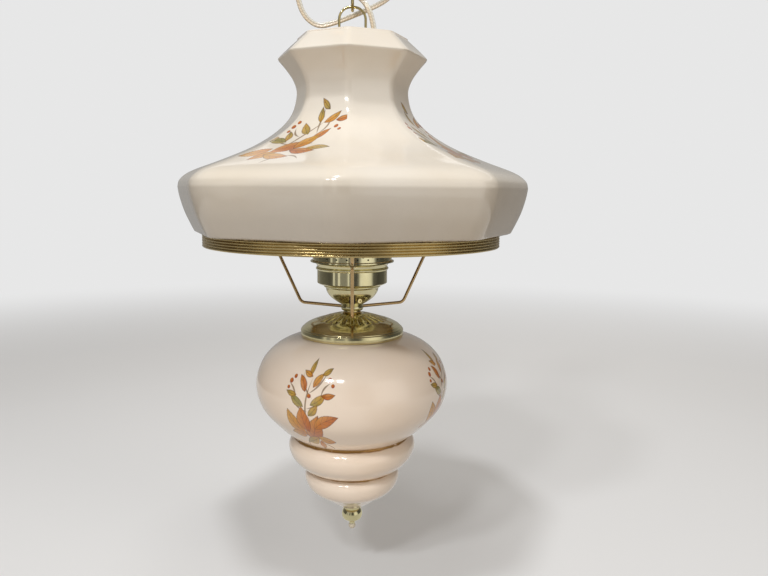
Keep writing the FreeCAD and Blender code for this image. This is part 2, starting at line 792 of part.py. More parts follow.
# Cord along the front wire, held by clips
def beside(a, b):
    """A run of the wire's path, as its start, heading and the way inwards from it."""
    start = V(0, -a[0], a[1])
    heading = (V(0, -b[0], b[1]) - start).normalize()
    inwards = heading.cross(V(1, 0, 0)).normalize()
    if inwards.y < 0:
        inwards = inwards * -1
    return start, heading, inwards


def at_radius(a, b, r):
    """The point of a straight run, in the wire's plane, at one radius."""
    share = (r - a[0]) / (b[0] - a[0])
    return r, a[1] + (b[1] - a[1]) * share


def make_inner_cord():
    """The cord from the socket's cap to the top hub, up along the front wire."""
    apart = wire_r + cord_r + clip_gap
    lug_clear_r = ring_ledge_r - lug_reach - cord_r - cord_lug_gap
    inner = mitred(wire_points(), apart)
    corners = [
        (cord_foot_r, cord_entry_z), (cord_entry_r + cord_entry_run, cord_entry_z),
        inner[1], inner[2], at_radius(inner[2], inner[3], lug_clear_r),
        at_radius(inner[4], inner[5], lug_clear_r), inner[5], (inner[5][0], hub_z - hub_cord_drop)]
    points = [V(0, -r, z) for r, z in corners]
    points += [
        V(hub_cord_mid[0], hub_cord_mid[1], hub_z - hub_cord_mid[2]),
        V(hub_hole_x, hub_hole_y, hub_z - hub_cord_rise),
        V(hub_hole_x, hub_hole_y, hub_top_z + bushing_flange_thick)]
    outer_bend = wire_bend_r + apart
    save("cord_inner", cord_tube(points, "inner cord", {3: outer_bend, 6: outer_bend}))
    corners = wire_points()
    clips = []
    for number, share in clip_run_shares:
        first, last = corners[number:number + 2]
        start, heading, inwards = beside(first, last)
        run = math.dist(first, last)
        centre = start + heading * (run * share) + inwards * ((apart + cord_r - wire_r) / 2)
        half_reach = (apart + cord_r + wire_r) / 2 + snug
        band = rounded_band(half_reach, cord_r + snug, cord_r, clip_width, clip_thick)
        turn = FreeCAD.Rotation(inwards, heading.cross(inwards), heading, "ZXY")
        band.Placement = FreeCAD.Placement(centre, turn)
        clips.append(band)
    save("cord_clips", Part.makeCompound(clips))


# Coil of spare cord
coil_inner_r = coil_r - coil_pitch * coil_turns_in_layer
coil_front_y = link_width / 2 + coil_behind_chain + cord_r
coil_back_y = coil_front_y + (coil_layers - 1) * coil_layer_pitch
tie_link_z = first_link_z - link_pitch
tie_link_bow = math.sqrt((link_width / 2 - link_wire_r) ** 2 - (tie_x - tie_width / 2) ** 2)
tie_half_height = link_length / 2 - link_width / 2 + tie_link_bow + link_wire_r + play
tie_floor_z = tie_link_z - tie_half_height
coil_z = tie_floor_z + play - math.sqrt((coil_inner_r - cord_r) ** 2 - (tie_x + tie_width / 2) ** 2)


def coil_knots():
    """The coil's knots as (angle swept, radius, y, change of radius per degree)."""
    rate = coil_pitch / 360.0
    knots = []
    swept = 0.0
    for layer in range(coil_layers):
        y = coil_front_y + layer * coil_layer_pitch
        inward = layer % 2 == 0
        steps = 4 * coil_turns_in_layer
        for i in range(steps + 1):
            travelled = i * coil_pitch / 4
            r = coil_r - travelled if inward else coil_inner_r + travelled
            slope = -rate if inward else rate
            turning = (i == 0 and layer > 0) or i == steps
            knots.append((swept + 90.0 * i, r, y, slope / 2 if turning else slope))
        swept += 90.0 * steps + 180.0
    last = knots[-1][0]
    end = last + (coil_start_deg - last) % 360.0
    knots.append((end, coil_exit_r, coil_back_y, 0.0))
    return knots


def coil_point(knot):
    swept, r, y, slope = knot
    angle = math.radians(coil_start_deg - swept)
    at = V(r * math.cos(angle), y, coil_z + r * math.sin(angle))
    outward = V(math.cos(angle), 0, math.sin(angle))
    onward = V(math.sin(angle), 0, -math.cos(angle))
    heading = onward * r + outward * math.degrees(slope)
    return at, heading.normalize()


def arc_from(start, heading, end):
    """The arc that leaves start along heading and reaches end."""
    chord = end - start
    along = V(chord).normalize()
    side = heading - along * heading.dot(along)
    half = math.acos(max(-1.0, min(1.0, heading.dot(along))))
    side.normalize()
    middle = (start + end) * 0.5 + side * (chord.Length / 2 * math.tan(half / 2))
    return Part.Arc(start, middle, end).toShape()


def biarc(start, start_heading, end, end_heading):
    """Two tangent arcs from one point and heading to another."""
    across = end - start
    both = start_heading + end_heading
    b = across.dot(both)
    c = across.dot(across)
    a = 2 * (1 - start_heading.dot(end_heading))
    d = (-b + math.sqrt(b * b + a * c)) / a
    middle = (start + end + (start_heading - end_heading) * d) * 0.5
    second = arc_from(end, end_heading * -1, middle)
    return [arc_from(start, start_heading, middle), second]


def coil_path():
    places = [coil_point(knot) for knot in coil_knots()]
    edges = []
    for (at, heading), (next_at, next_heading) in zip(places[:-1], places[1:]):
        edges += biarc(at, heading, next_at, next_heading)
    return Part.Wire(Part.sortEdges(edges)[0]), places


def least_gap(path):
    """The least distance between turns that aren't neighbours along the cord, less one diameter."""
    points = path.discretize(Distance=cord_d / 2)
    skip = int(4 * cord_d / (path.Length / len(points)))
    least = path.Length
    for i in range(0, len(points)):
        for j in range(i + skip, len(points)):
            apart = points[i].distanceToPoint(points[j])
            least = min(least, apart)
    return least - cord_d


# The free cord, its ties and its plug
rise_points = (
    (23.0, 6.0, -252.0), (22.6, 6.2, -235.0), (20.6, 6.8, -217.5), (16.0, 9.0, -202.5))
tail_points = (
    (49.6, 32.4, -160.0), (45.0, 30.0, -178.5), (34.0, 25.5, -191.5), (18.0, 21.5, -200.5),
    (0.0, 19.5, -208.5), (-18.0, 19.0, -215.5), (-34.0, 20.0, -219.5), (-47.0, 22.0, -211.0),
    (-54.5, 23.5, -196.0), (-57.3, 23.7, -172.0))
plug_x = -57.3
plug_y = 23.7
plug_foot_z = coil_z + plug_rise
plug_tie_z = coil_z - plug_tie_drop


def make_free_cord():
    path, places = coil_path()
    coil = tube(path, cord_r)
    ratio = coil.Volume / (math.pi * cord_r ** 2 * path.Length)
    print("coil length", round(path.Length, 1), "volume ratio", round(ratio, 4),
          "least gap", round(least_gap(path), 2))
    save("cord_coil", coil)
    start, heading = places[0]
    end = places[-1][0]
    exit_point = V(hub_hole_x, hub_hole_y, hub_top_z + bushing_flange_thick)
    rise = [exit_point] + [V(*point) for point in rise_points] + [start - heading * coil_lead, start]
    save("cord_rise", cord_tube(rise, "cord rise"))
    tail = [end] + [V(*point) for point in tail_points] + [V(plug_x, plug_y, plug_foot_z)]
    save("cord_tail", cord_tube(tail, "cord tail"))


def make_ties():
    front = -link_wire_r - play
    back = coil_back_y + cord_r + play
    band = rounded_band((back - front) / 2, tie_half_height, tie_corner_r, tie_width, tie_thick)
    turn = FreeCAD.Rotation(V(0, 1, 0), V(0, 0, 1), V(1, 0, 0), "ZXY")
    band.Placement = FreeCAD.Placement(V(tie_x, (front + back) / 2, tie_link_z), turn)
    save("coil_tie", band)
    low = plug_tie_drop + tie_width / 2
    right = -math.sqrt((coil_inner_r - cord_r) ** 2 - low ** 2) + play
    left = plug_x - cord_r - play
    near = coil_front_y - cord_r - play
    band = rounded_band((right - left) / 2, (back - near) / 2, tie_corner_r, tie_width, tie_thick)
    save("plug_tie", band.translated(V((left + right) / 2, (near + back) / 2, plug_tie_z)))


def make_plug():
    nose_top = plug_foot_z + plug_nose
    nose = Part.makeCone(plug_nose_r, plug_depth / 2, plug_nose, V(plug_x, plug_y, plug_foot_z))
    box = Part.makeBox(plug_depth, plug_width, plug_length,
                       V(plug_x - plug_depth / 2, plug_y - plug_width / 2, nose_top))
    body = box.makeFillet(plug_round, box.Edges).fuse(nose)
    blades = []
    foot = nose_top + plug_length - blade_root
    for y in (plug_y - blade_apart / 2, plug_y + blade_apart / 2):
        blade = Part.makeBox(blade_width, blade_thick, blade_length + blade_root,
                             V(plug_x - blade_width / 2, y - blade_thick / 2, foot))
        blades.append(blade)
    save("plug_body", body.cut(blades).removeSplitter())
    save("plug_blades", Part.makeCompound(blades))


save("ceiling_hook", make_hook())
make_chain()
make_top()
make_hub_bushing()
save("shade", make_shade())
save("shade_ring", make_ring())
make_frame()
save("arm_hub", make_arm_hub())
make_burner()
make_gallery()
save("chimney", make_chimney())
make_bulb(make_socket())
make_lower()
make_pipe()
make_inner_cord()
make_free_cord()
make_ties()
make_plug()

for name, shape in nodes.items():
    shape.exportStep("parts/%s.step" % name)
print(len(nodes), "nodes")
heights = {
    "seat": seat_z, "coil": coil_z, "hub": hub_z, "arm": arm_z, "cup top": cup_top_z, "cap foot": cap_foot_z,
    "font foot": font_foot_z, "finial foot": finial_foot_z, "bow": last_bow_z, "hook low": hook_low_z}
print({name: round(height, 2) for name, height in heights.items()})
print("ring radius", round(ring_r, 2), "ledge", round(ring_ledge_r, 2), "lug", round(wire_lug_r, 2))
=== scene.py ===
import json
import math

import bpy
from mathutils import Matrix, Vector


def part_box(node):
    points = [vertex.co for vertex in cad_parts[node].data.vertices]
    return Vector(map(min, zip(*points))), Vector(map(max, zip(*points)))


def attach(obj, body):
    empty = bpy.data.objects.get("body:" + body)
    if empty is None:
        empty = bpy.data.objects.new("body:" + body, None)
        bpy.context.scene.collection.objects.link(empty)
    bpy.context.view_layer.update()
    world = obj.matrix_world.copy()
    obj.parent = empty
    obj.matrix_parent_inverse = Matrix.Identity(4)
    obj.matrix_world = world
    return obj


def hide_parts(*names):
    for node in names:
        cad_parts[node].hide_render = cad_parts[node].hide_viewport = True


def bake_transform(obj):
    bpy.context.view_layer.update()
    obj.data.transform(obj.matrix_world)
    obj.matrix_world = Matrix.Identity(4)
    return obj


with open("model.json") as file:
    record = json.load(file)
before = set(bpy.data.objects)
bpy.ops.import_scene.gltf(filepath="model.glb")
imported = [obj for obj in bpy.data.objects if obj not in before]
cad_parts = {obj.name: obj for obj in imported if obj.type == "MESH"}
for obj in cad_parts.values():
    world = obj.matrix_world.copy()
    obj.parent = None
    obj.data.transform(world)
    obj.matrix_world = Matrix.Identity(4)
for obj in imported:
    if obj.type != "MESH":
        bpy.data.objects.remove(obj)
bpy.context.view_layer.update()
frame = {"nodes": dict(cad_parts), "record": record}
MM = 0.001


# Shader sums
class Flow:
    """A value on its way through a finish's nodes. Sums on it add their Math nodes."""

    def __init__(self, finish, socket):
        self.finish = finish
        self.socket = socket

    def maths(self, operation, *values, clamp=False):
        sockets = {place: value for place, value in enumerate(values)}
        return self.finish.node("ShaderNodeMath", {"operation": operation, "use_clamp": clamp}, sockets)

    def __add__(self, other):
        return self.maths("ADD", self, other)

    __radd__ = __add__

    def __sub__(self, other):
        return self.maths("SUBTRACT", self, other)

    def __rsub__(self, other):
        return self.maths("SUBTRACT", other, self)

    def __mul__(self, other):
        return self.maths("MULTIPLY", self, other)

    __rmul__ = __mul__

    def __neg__(self):
        return self.maths("MULTIPLY", self, -1.0)

    def __abs__(self):
        return self.maths("ABSOLUTE", self)

    def sine(self):
        return self.maths("SINE", self)

    def clamped(self):
        return self.maths("ADD", self, 0.0, clamp=True)

    def between(self, low, high):
        """0 at low and 1 at high, eased."""
        return self.finish.node("ShaderNodeMapRange", {"interpolation_type": "SMOOTHSTEP"}, {
            "Value": self, "From Min": low, "From Max": high})


class Finish:
    """A material and its nodes."""

    def __init__(self, name):
        self.material = bpy.data.materials.new(name)
        self.material.use_nodes = True
        self.tree = self.material.node_tree
        self.shader = self.tree.nodes["Principled BSDF"]

    def plug(self, node, name, value):
        if isinstance(value, Flow):
            self.tree.links.new(value.socket, node.inputs[name])
        else:
            node.inputs[name].default_value = value

    def node(self, kind, settings, sockets, output=0):
        made = self.tree.nodes.new(kind)
        for name, value in settings.items():
            if name == "stops":
                ramp = made.color_ramp
                while len(ramp.elements) < len(value):
                    ramp.elements.new(1.0)
                for element, (place, tone) in zip(ramp.elements, value):
                    element.position = place
                    element.color = tone
            else:
                setattr(made, name, value)
        for name, value in sockets.items():
            self.plug(made, name, value)
        return Flow(self, made.outputs[output])

    def surface(self, **sockets):
        for name, value in sockets.items():
            self.plug(self.shader, name.replace("_", " "), value)
        return self

    def place(self):
        """Object coordinates, in metres."""
        return self.node("ShaderNodeTexCoord", {}, {}, "Object")

    def parts(self, vector):
        made = self.tree.nodes.new("ShaderNodeSeparateXYZ")
        self.plug(made, 0, vector)
        return [Flow(self, out) for out in made.outputs]

    def noise(self, scale, detail=2.0, rough=0.5, vector=None):
        return self.node("ShaderNodeTexNoise", {}, {
            "Vector": vector or self.place(), "Scale": scale, "Detail": detail, "Roughness": rough})

    def blend(self, amount, first, second):
        made = self.tree.nodes.new("ShaderNodeMix")
        made.data_type = "RGBA"
        self.plug(made, 0, amount)
        self.plug(made, 6, first)
        self.plug(made, 7, second)
        return Flow(self, made.outputs[2])

    def bump(self, height, distance, strength=1.0, after=None):
        sockets = {"Height": height, "Distance": distance, "Strength": strength}
        if after:
            sockets["Normal"] = after
        return self.node("ShaderNodeBump", {}, sockets)


def tone(red, green, blue):
    """A colour from its 0 to 255 screen values."""
    linear = []
    for part in (red, green, blue):
        part = part / 255
        linear.append(part / 12.92 if part <= 0.04045 else ((part + 0.055) / 1.055) ** 2.4)
    return (*linear, 1.0)


# Painted sprigs, drawn in millimetres about the middle of a facet or panel
RUST = tone(182, 92, 22)
AMBER = tone(206, 124, 22)
GOLD_LEAF = tone(208, 156, 50)
OLIVE = tone(146, 136, 66)
BRONZE = tone(116, 84, 38)
INK = tone(84, 46, 24)
PALE_LEAF = tone(236, 196, 118)
BERRY = tone(164, 78, 50)

# Each leaf: middle x, y, angle, half length, half width, curl, tip colour, root colour.
# Each stem: middle x, y, angle, half length, curl. Each berry: middle x, y, radius.
font_leaves = (
    (-13.0, -12.0, 118.0, 14.0, 6.4, 0.30, GOLD_LEAF, AMBER),
    (3.0, -16.0, 64.0, 15.5, 7.6, -0.25, AMBER, RUST),
    (14.5, -8.0, 30.0, 12.5, 5.4, 0.35, RUST, AMBER),
    (-4.0, -29.0, 205.0, 9.5, 4.6, 0.30, OLIVE, GOLD_LEAF),
    (12.0, -27.0, -18.0, 9.0, 4.2, -0.30, AMBER, GOLD_LEAF),
    (-9.5, 8.5, 142.0, 8.0, 3.6, 0.30, OLIVE, OLIVE),
    (9.5, 10.5, 38.0, 8.4, 3.6, -0.30, GOLD_LEAF, OLIVE),
    (-5.5, 22.0, 120.0, 7.4, 3.2, -0.30, AMBER, RUST),
    (8.0, 25.0, 52.0, 7.0, 3.0, 0.30, GOLD_LEAF, AMBER),
    (0.5, 33.5, 84.0, 6.2, 2.5, 0.20, OLIVE, GOLD_LEAF),
    (-4.0, -7.5, 98.0, 12.0, 6.2, 0.20, AMBER, RUST),
    (-15.5, -23.0, 172.0, 8.0, 4.2, -0.30, GOLD_LEAF, AMBER),
    (4.0, -34.0, 252.0, 6.5, 3.4, 0.30, RUST, AMBER),
    (5.0, 1.5, 50.0, 6.8, 3.2, -0.20, GOLD_LEAF, OLIVE),
    (-15.0, 13.5, 168.0, 5.6, 2.6, 0.30, OLIVE, GOLD_LEAF),
    (17.5, 14.0, 8.0, 6.0, 2.7, -0.30, AMBER, RUST),
    (-2.5, 29.0, 158.0, 5.4, 2.3, 0.20, GOLD_LEAF, AMBER),
    (15.0, 31.0, 30.0, 5.4, 2.3, -0.20, OLIVE, GOLD_LEAF),
)
font_stems = (
    (0.5, 2.0, 88.0, 27.0, 1.3), (-6.5, 3.5, 150.0, 8.0, 0.6), (6.0, 6.0, 30.0, 8.0, -0.6),
    (-14.0, 16.0, 128.0, 8.0, -0.8), (14.5, 18.5, 56.0, 7.0, 0.8), (12.0, -36.0, -40.0, 8.0, 1.0),
    (-12.0, -35.0, 215.0, 7.0, -1.0), (-2.0, 20.0, 122.0, 12.0, 0.7), (8.0, 22.0, 48.0, 12.0, -0.7))
font_berries = (
    (-17.0, 22.5, 2.0), (-14.0, 26.0, 1.7), (17.5, 25.5, 1.9), (20.5, 21.5, 1.6), (-18.5, 17.5, 1.5),
    (1.5, 13.0, 1.8))
shade_leaves = (
    (-25.0, -11.0, 192.0, 12.0, 5.2, 0.30, GOLD_LEAF, AMBER),
    (-17.0, -18.0, 206.0, 10.0, 4.6, -0.25, AMBER, GOLD_LEAF),
    (-1.0, -9.0, 14.0, 14.0, 6.4, 0.30, RUST, AMBER),
    (-7.0, -21.0, -22.0, 11.0, 4.6, -0.30, AMBER, GOLD_LEAF),
    (19.0, -15.0, -8.0, 9.5, 3.6, 0.30, OLIVE, GOLD_LEAF),
    (-16.0, 4.0, 158.0, 9.0, 3.8, -0.25, OLIVE, OLIVE),
    (15.0, 3.0, 44.0, 8.4, 3.4, 0.30, AMBER, RUST),
    (2.0, 12.5, 112.0, 7.4, 3.2, 0.30, GOLD_LEAF, OLIVE),
    (20.0, 18.0, 26.0, 7.0, 2.9, -0.30, GOLD_LEAF, AMBER),
    (11.0, 22.0, 88.0, 6.0, 2.6, 0.20, OLIVE, GOLD_LEAF),
    (8.0, -4.0, 48.0, 10.5, 5.2, 0.25, GOLD_LEAF, AMBER),
    (9.0, -17.0, -16.0, 10.0, 4.6, -0.30, AMBER, RUST),
    (-22.0, 9.0, 176.0, 6.0, 2.8, 0.30, OLIVE, GOLD_LEAF),
    (28.0, 15.5, 6.0, 5.6, 2.5, -0.30, AMBER, RUST),
    (14.0, 28.5, 124.0, 5.2, 2.3, 0.20, GOLD_LEAF, OLIVE),
    (-9.0, 8.0, 96.0, 6.2, 2.8, -0.20, OLIVE, GOLD_LEAF),
)
shade_stems = (
    (2.0, 2.0, 52.0, 22.0, 1.6), (-10.0, 0.0, 140.0, 8.0, 0.6), (16.0, 12.0, 66.0, 8.0, -0.8),
    (-4.0, 10.0, 118.0, 7.0, 0.8), (6.0, -26.0, -34.0, 8.0, 1.0), (-8.0, -27.0, 215.0, 8.0, -1.0),
    (12.0, 16.0, 84.0, 12.0, 0.7))
shade_berries = (
    (-9.0, 18.0, 1.9), (-5.5, 21.0, 1.6), (-11.5, 14.0, 1.5), (24.0, 9.5, 1.7), (27.0, 6.0, 1.4))


def leaf_place(finish, flat, x, y, angle, half_length, half_width, curl):
    """Along and across one leaf or stem, each from -1 to 1 within it, following its curl."""
    moved = finish.node("ShaderNodeMapping", {"vector_type": "TEXTURE"}, {
        "Vector": flat, "Location": (x, y, 0.0), "Rotation": (0.0, 0.0, math.radians(angle)),
        "Scale": (half_length, half_width, 1.0)})
    along, across, _ = finish.parts(moved)
    across = across + (along * along) * curl - curl * 0.5
    return along, across


def painted(finish, ground, flat, leaves, stems, berries):
    """The sprig over its ground: stems, then leaves with darker edges and veins, then berries."""
    grain = finish.noise(0.55, 3.0, 0.6, flat)
    fine = finish.noise(1.6, 2.0, 0.6, flat)
    colour = ground
    for x, y, angle, half_length, curl in stems:
        along, across = leaf_place(finish, flat, x, y, angle, half_length, 1.0, curl * 3)
        line = ((1.0 - along * along) * 0.9 - abs(across)) * 2.2
        colour = finish.blend(line.clamped() * 0.8, colour, BRONZE)
    for x, y, angle, half_length, half_width, curl, tip, root in leaves:
        along, across = leaf_place(finish, flat, x, y, angle, half_length, half_width, curl)
        taper = 1.0 - along.maths("MINIMUM", along, 1.0) * 0.25
        inside = (1.0 - along * along) * taper + (fine - 0.5) * 0.28 - abs(across)
        body = (inside * (half_width / 0.5)).clamped()
        shade = finish.blend((along * 0.5 + grain * 1.3 - 0.15).clamped(), root, tip)
        shade = finish.blend((across * 0.9 + fine * 0.8 - 0.30).clamped() * 0.35, shade, PALE_LEAF)
        vein = (1.0 - abs(across) * (half_width / 0.35)).clamped() * 0.7
        rib = ((along * (half_length * 1.1) + abs(across) * (-half_width * 1.5)).sine() - 0.78) * 2.5
        edge = 1.0 - (inside * (half_width / 1.2)).clamped()
        mark = (vein + rib.clamped() * 0.6 + edge * 0.95).clamped() * (0.6 + grain * 0.8).clamped()
        shade = finish.blend(mark, shade, INK)
        colour = finish.blend(body * 0.96, colour, shade)
    for x, y, r in berries:
        moved = finish.node("ShaderNodeMapping", {"vector_type": "TEXTURE"}, {
            "Vector": flat, "Location": (x, y, 0.0), "Scale": (r, r, 1.0)})
        far = finish.node("ShaderNodeVectorMath", {"operation": "LENGTH"}, {0: moved}, "Value")
        body = ((1.0 - far) * (r / 0.3)).clamped()
        glow = finish.node("ShaderNodeVectorMath", {"operation": "DISTANCE"}, {
            0: moved, 1: (-0.3, 0.35, 0.0)}, "Value")
        shade = finish.blend((1.0 - glow).clamped(), BERRY, AMBER)
        shade = finish.blend((far * 2.0 - 1.2).clamped() * 0.6, shade, INK)
        colour = finish.blend(body, colour, shade)
    return colour


# Finishes
def glaze(name, light, deep, leaves=(), stems=(), berries=(), gold_heights=(), lean=0.0, spread=1.0):
    """Glossy fired glaze, thicker and warmer in places, with painted sprigs under the gloss."""
    finish = Finish(name)
    ground = finish.blend(finish.noise(9.0, 3.0).between(0.35, 0.75), light, deep)
    specks = finish.noise(900.0, 1.0).between(0.70, 0.80) * 0.10
    ground = finish.blend(specks, ground, tone(150, 126, 96))
    if leaves:
        panel = finish.node("ShaderNodeUVMap", {"uv_map": "panel"}, {})
        flat = finish.node("ShaderNodeMapping", {"vector_type": "TEXTURE"}, {
            "Vector": panel, "Rotation": (0.0, 0.0, math.radians(lean)), "Scale": (spread, spread, 1.0)})
        ground = painted(finish, ground, flat, leaves, stems, berries)
    metal = None
    if gold_heights:
        height = finish.parts(finish.place())[2]
        height = height + (finish.noise(26.0, 3.0, 0.7) - 0.5) * 0.0034
        for low, high in gold_heights:
            band = height.between(low - 0.0006, low + 0.0006) * (1.0 - height.between(high - 0.0006, high + 0.0006))
            metal = band if metal is None else metal + band
        worn = finish.noise(120.0, 3.0, 0.7).between(0.30, 0.42)
        metal = (metal * worn).clamped()
        ground = finish.blend(metal, ground, tone(178, 136, 74))
        finish.surface(Metallic=metal * 0.6)
    wave = finish.bump(finish.noise(38.0, 1.0), 0.0005, 0.5)
    peel = finish.bump(finish.noise(260.0, 1.0), 0.00004, 0.5, wave)
    rough = finish.noise(14.0, 2.0).between(0.3, 0.8) * 0.05 + 0.10
    if metal:
        rough = rough + metal * 0.14
    return finish.surface(
        Base_Color=ground, Roughness=rough, Normal=peel, Coat_Weight=0.6, Coat_Roughness=0.04,
        IOR=1.52).material


def brass(name, light, deep, rough, spun=False, dull=0.35, specks=0.3):
    """Lacquered brass, with darker clouding, and fine rings on what was spun."""
    finish = Finish(name)
    cloud = finish.noise(34.0, 4.0, 0.6).between(0.42, 0.75)
    spots = finish.noise(210.0, 3.0, 0.7).between(0.66, 0.74)
    colour = finish.blend(cloud * dull, light, deep)
    colour = finish.blend(spots * specks, colour, tone(104, 78, 42))
    scuff = finish.noise(90.0, 4.0, 0.7).between(0.45, 0.75) * 0.06
    height = finish.noise(240.0, 2.0, 0.5)
    if spun:
        _, _, z = finish.parts(finish.place())
        height = height * 0.4 + (z * 9000.0).sine() * 0.15
    return finish.surface(
        Base_Color=colour, Metallic=1.0, Roughness=scuff + cloud * 0.05 + rough,
        Normal=finish.bump(height, 0.00002, 0.2)).material


def steel(name, light, rough):
    finish = Finish(name)
    cloud = finish.noise(60.0, 4.0, 0.6).between(0.4, 0.7)
    colour = finish.blend(cloud * 0.5, light, tone(120, 116, 108))
    return finish.surface(
        Base_Color=colour, Metallic=1.0, Roughness=cloud * 0.15 + rough,
        Normal=finish.bump(finish.noise(500.0, 3.0), 0.00004, 0.4)).material


def moulded(name, light, rough, coat=0.0):
    """Plain moulded plastic or card."""
    finish = Finish(name)
    cloud = finish.noise(45.0, 3.0).between(0.4, 0.7)
    colour = finish.blend(cloud * 0.18, light, tone(60, 44, 30))
    return finish.surface(
        Base_Color=colour, Roughness=finish.noise(80.0, 3.0) * 0.15 + rough, Coat_Weight=coat,
        Normal=finish.bump(finish.noise(600.0, 2.0), 0.00005, 0.5)).material


def clear_glass(name):
    finish = Finish(name)
    smear = finish.noise(25.0, 3.0, 0.6).between(0.45, 0.8)
    return finish.surface(
        Base_Color=(0.96, 0.98, 0.97, 1.0), Roughness=smear * 0.05 + 0.01, Transmission_Weight=1.0,
        IOR=1.46, Normal=finish.bump(finish.noise(30.0), 0.0003, 0.3)).material


def frosted_glass(name):
    finish = Finish(name)
    return finish.surface(
        Base_Color=finish.blend(
            finish.noise(50.0).between(0.3, 0.8) * 0.1, (0.90, 0.89, 0.86, 1), (0.8, 0.78, 0.72, 1)),
        Roughness=finish.noise(200.0) * 0.1 + 0.30, Coat_Weight=0.4).material


def clear_cord(name):
    """Clear gold flex: a copper lay in one core, a tinned one in the other, under clear plastic."""
    finish = Finish(name)
    around, along, _ = finish.parts(finish.node("ShaderNodeUVMap", {"uv_map": "cord"}, {}))
    lay = ((along * 1900.0 + around * 16.0).sine() * 0.5 + 0.5)
    copper = finish.blend(lay, tone(218, 196, 166), tone(238, 221, 194))
    tinned = finish.blend(lay, tone(222, 215, 198), tone(242, 237, 224))
    side = (around * (2 * math.pi)).sine().between(-0.25, 0.25)
    cores = finish.blend(side, copper, tinned)
    web = 1.0 - abs((around * (2 * math.pi)).sine()).between(0.06, 0.30)
    colour = finish.blend(web * 0.5, cores, tone(182, 162, 130))
    return finish.surface(
        Base_Color=colour, Roughness=finish.noise(70.0, 2.0) * 0.08 + 0.16, Coat_Weight=0.9,
        Coat_Roughness=0.05, Specular_IOR_Level=0.6,
        Normal=finish.bump(finish.noise(300.0, 2.0), 0.0001, 0.4)).material


IVORY = glaze("ivory_glaze", tone(240, 231, 217), tone(233, 221, 202), shade_leaves, shade_stems, shade_berries,
              lean=14.0, spread=1.3)
font_low, font_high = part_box("font")
font_tall = font_high.z - font_low.z
BLUSH = glaze("blush_glaze", tone(243, 227, 210), tone(236, 216, 195), font_leaves, font_stems, font_berries, (
    (font_low.z + 0.229 * font_tall, font_low.z + 0.250 * font_tall),
    (font_low.z + 0.424 * font_tall, font_low.z + 0.445 * font_tall)), spread=1.18)
PEARL = glaze("pearl_tip", tone(212, 202, 182), tone(192, 178, 154))
BRASS = brass("polished_brass", tone(224, 206, 150), tone(180, 156, 100), 0.12)
SPUN_BRASS = brass("spun_brass", tone(228, 220, 178), tone(188, 174, 120), 0.08, spun=True)
CAP_BRASS = brass("pressed_brass", tone(228, 218, 172), tone(186, 170, 114), 0.15)
RING_BRASS = brass("ring_brass", tone(200, 178, 126), tone(150, 128, 82), 0.26, dull=0.4, specks=0.1)
WIRE_BRASS = brass("wire_brass", tone(206, 176, 128), tone(158, 130, 88), 0.20, dull=0.5, specks=0.2)
CONTACT_BRASS = brass("contact_brass", tone(214, 180, 110), tone(170, 130, 70), 0.22)
PLATED_STEEL = steel("plated_steel", tone(196, 194, 186), 0.26)
CLIP_STEEL = steel("clip_steel", tone(196, 178, 128), 0.28)
BASE_METAL = steel("bulb_base_metal", tone(212, 210, 204), 0.22)
BUSHING = moulded("bushing_brown", tone(70, 52, 38), 0.40)
CARD = moulded("liner_card", tone(150, 124, 92), 0.75)
BLACK = moulded("socket_black", tone(34, 32, 31), 0.45)
TIE = moulded("tie_ivory", tone(214, 204, 176), 0.42)
PLUG = moulded("plug_gold", tone(186, 146, 88), 0.24, coat=0.6)
GLASS = clear_glass("chimney_glass")
BULB = frosted_glass("bulb_glass")
CORD = clear_cord("clear_gold_cord")

slot_finish = {
    "brass_polished": BRASS, "contact_brass": CONTACT_BRASS, "pipe_steel": PLATED_STEEL,
    "clip_steel": CLIP_STEEL, "bulb_base_metal": BASE_METAL, "bushing_plastic": BUSHING,
    "liner_card": CARD, "core_plastic": BLACK, "tie_plastic": TIE, "plug_plastic": PLUG,
    "chimney_glass": GLASS, "bulb_glass": BULB, "cord_clear_gold": CORD, "shade_glaze": IVORY,
    "font_glaze": BLUSH, "tip_ceramic": PEARL}
node_finish = {
    "shade_ring": RING_BRASS, "frame_wire_1": WIRE_BRASS, "frame_wire_2": WIRE_BRASS,
    "frame_wire_3": WIRE_BRASS, "burner_cup": SPUN_BRASS, "burner_gallery": SPUN_BRASS,
    "finial": SPUN_BRASS, "arm_hub": SPUN_BRASS}
slots = {part["node"]: part["material_slot"] for part in frame["record"]["subparts"]}
for name, node in frame["nodes"].items():
    node.data.materials.clear()
    node.data.materials.append(node_finish.get(name) or slot_finish[slots[name]])


# Making pieces
def deselect():
    if bpy.context.object and bpy.context.object.mode != "OBJECT":
        bpy.ops.object.mode_set(mode="OBJECT")
    bpy.ops.object.select_all(action="DESELECT")


def smooth_line(points, steps):
    """Points on a smooth curve through the given (radius, height) points."""
    line = [points[0]]
    for i in range(len(points) - 1):
        a = points[max(i - 1, 0)]
        b, c = points[i], points[i + 1]
        d = points[min(i + 2, len(points) - 1)]
        for k in range(1, steps + 1):
            t = k / steps
            line.append(tuple(
                0.5 * (2 * q + (r - p) * t + (2 * p - 5 * q + 4 * r - s) * t * t + (3 * q - p - 3 * r + s) * t ** 3)
                for p, q, r, s in zip(a, b, c, d)))
    return line


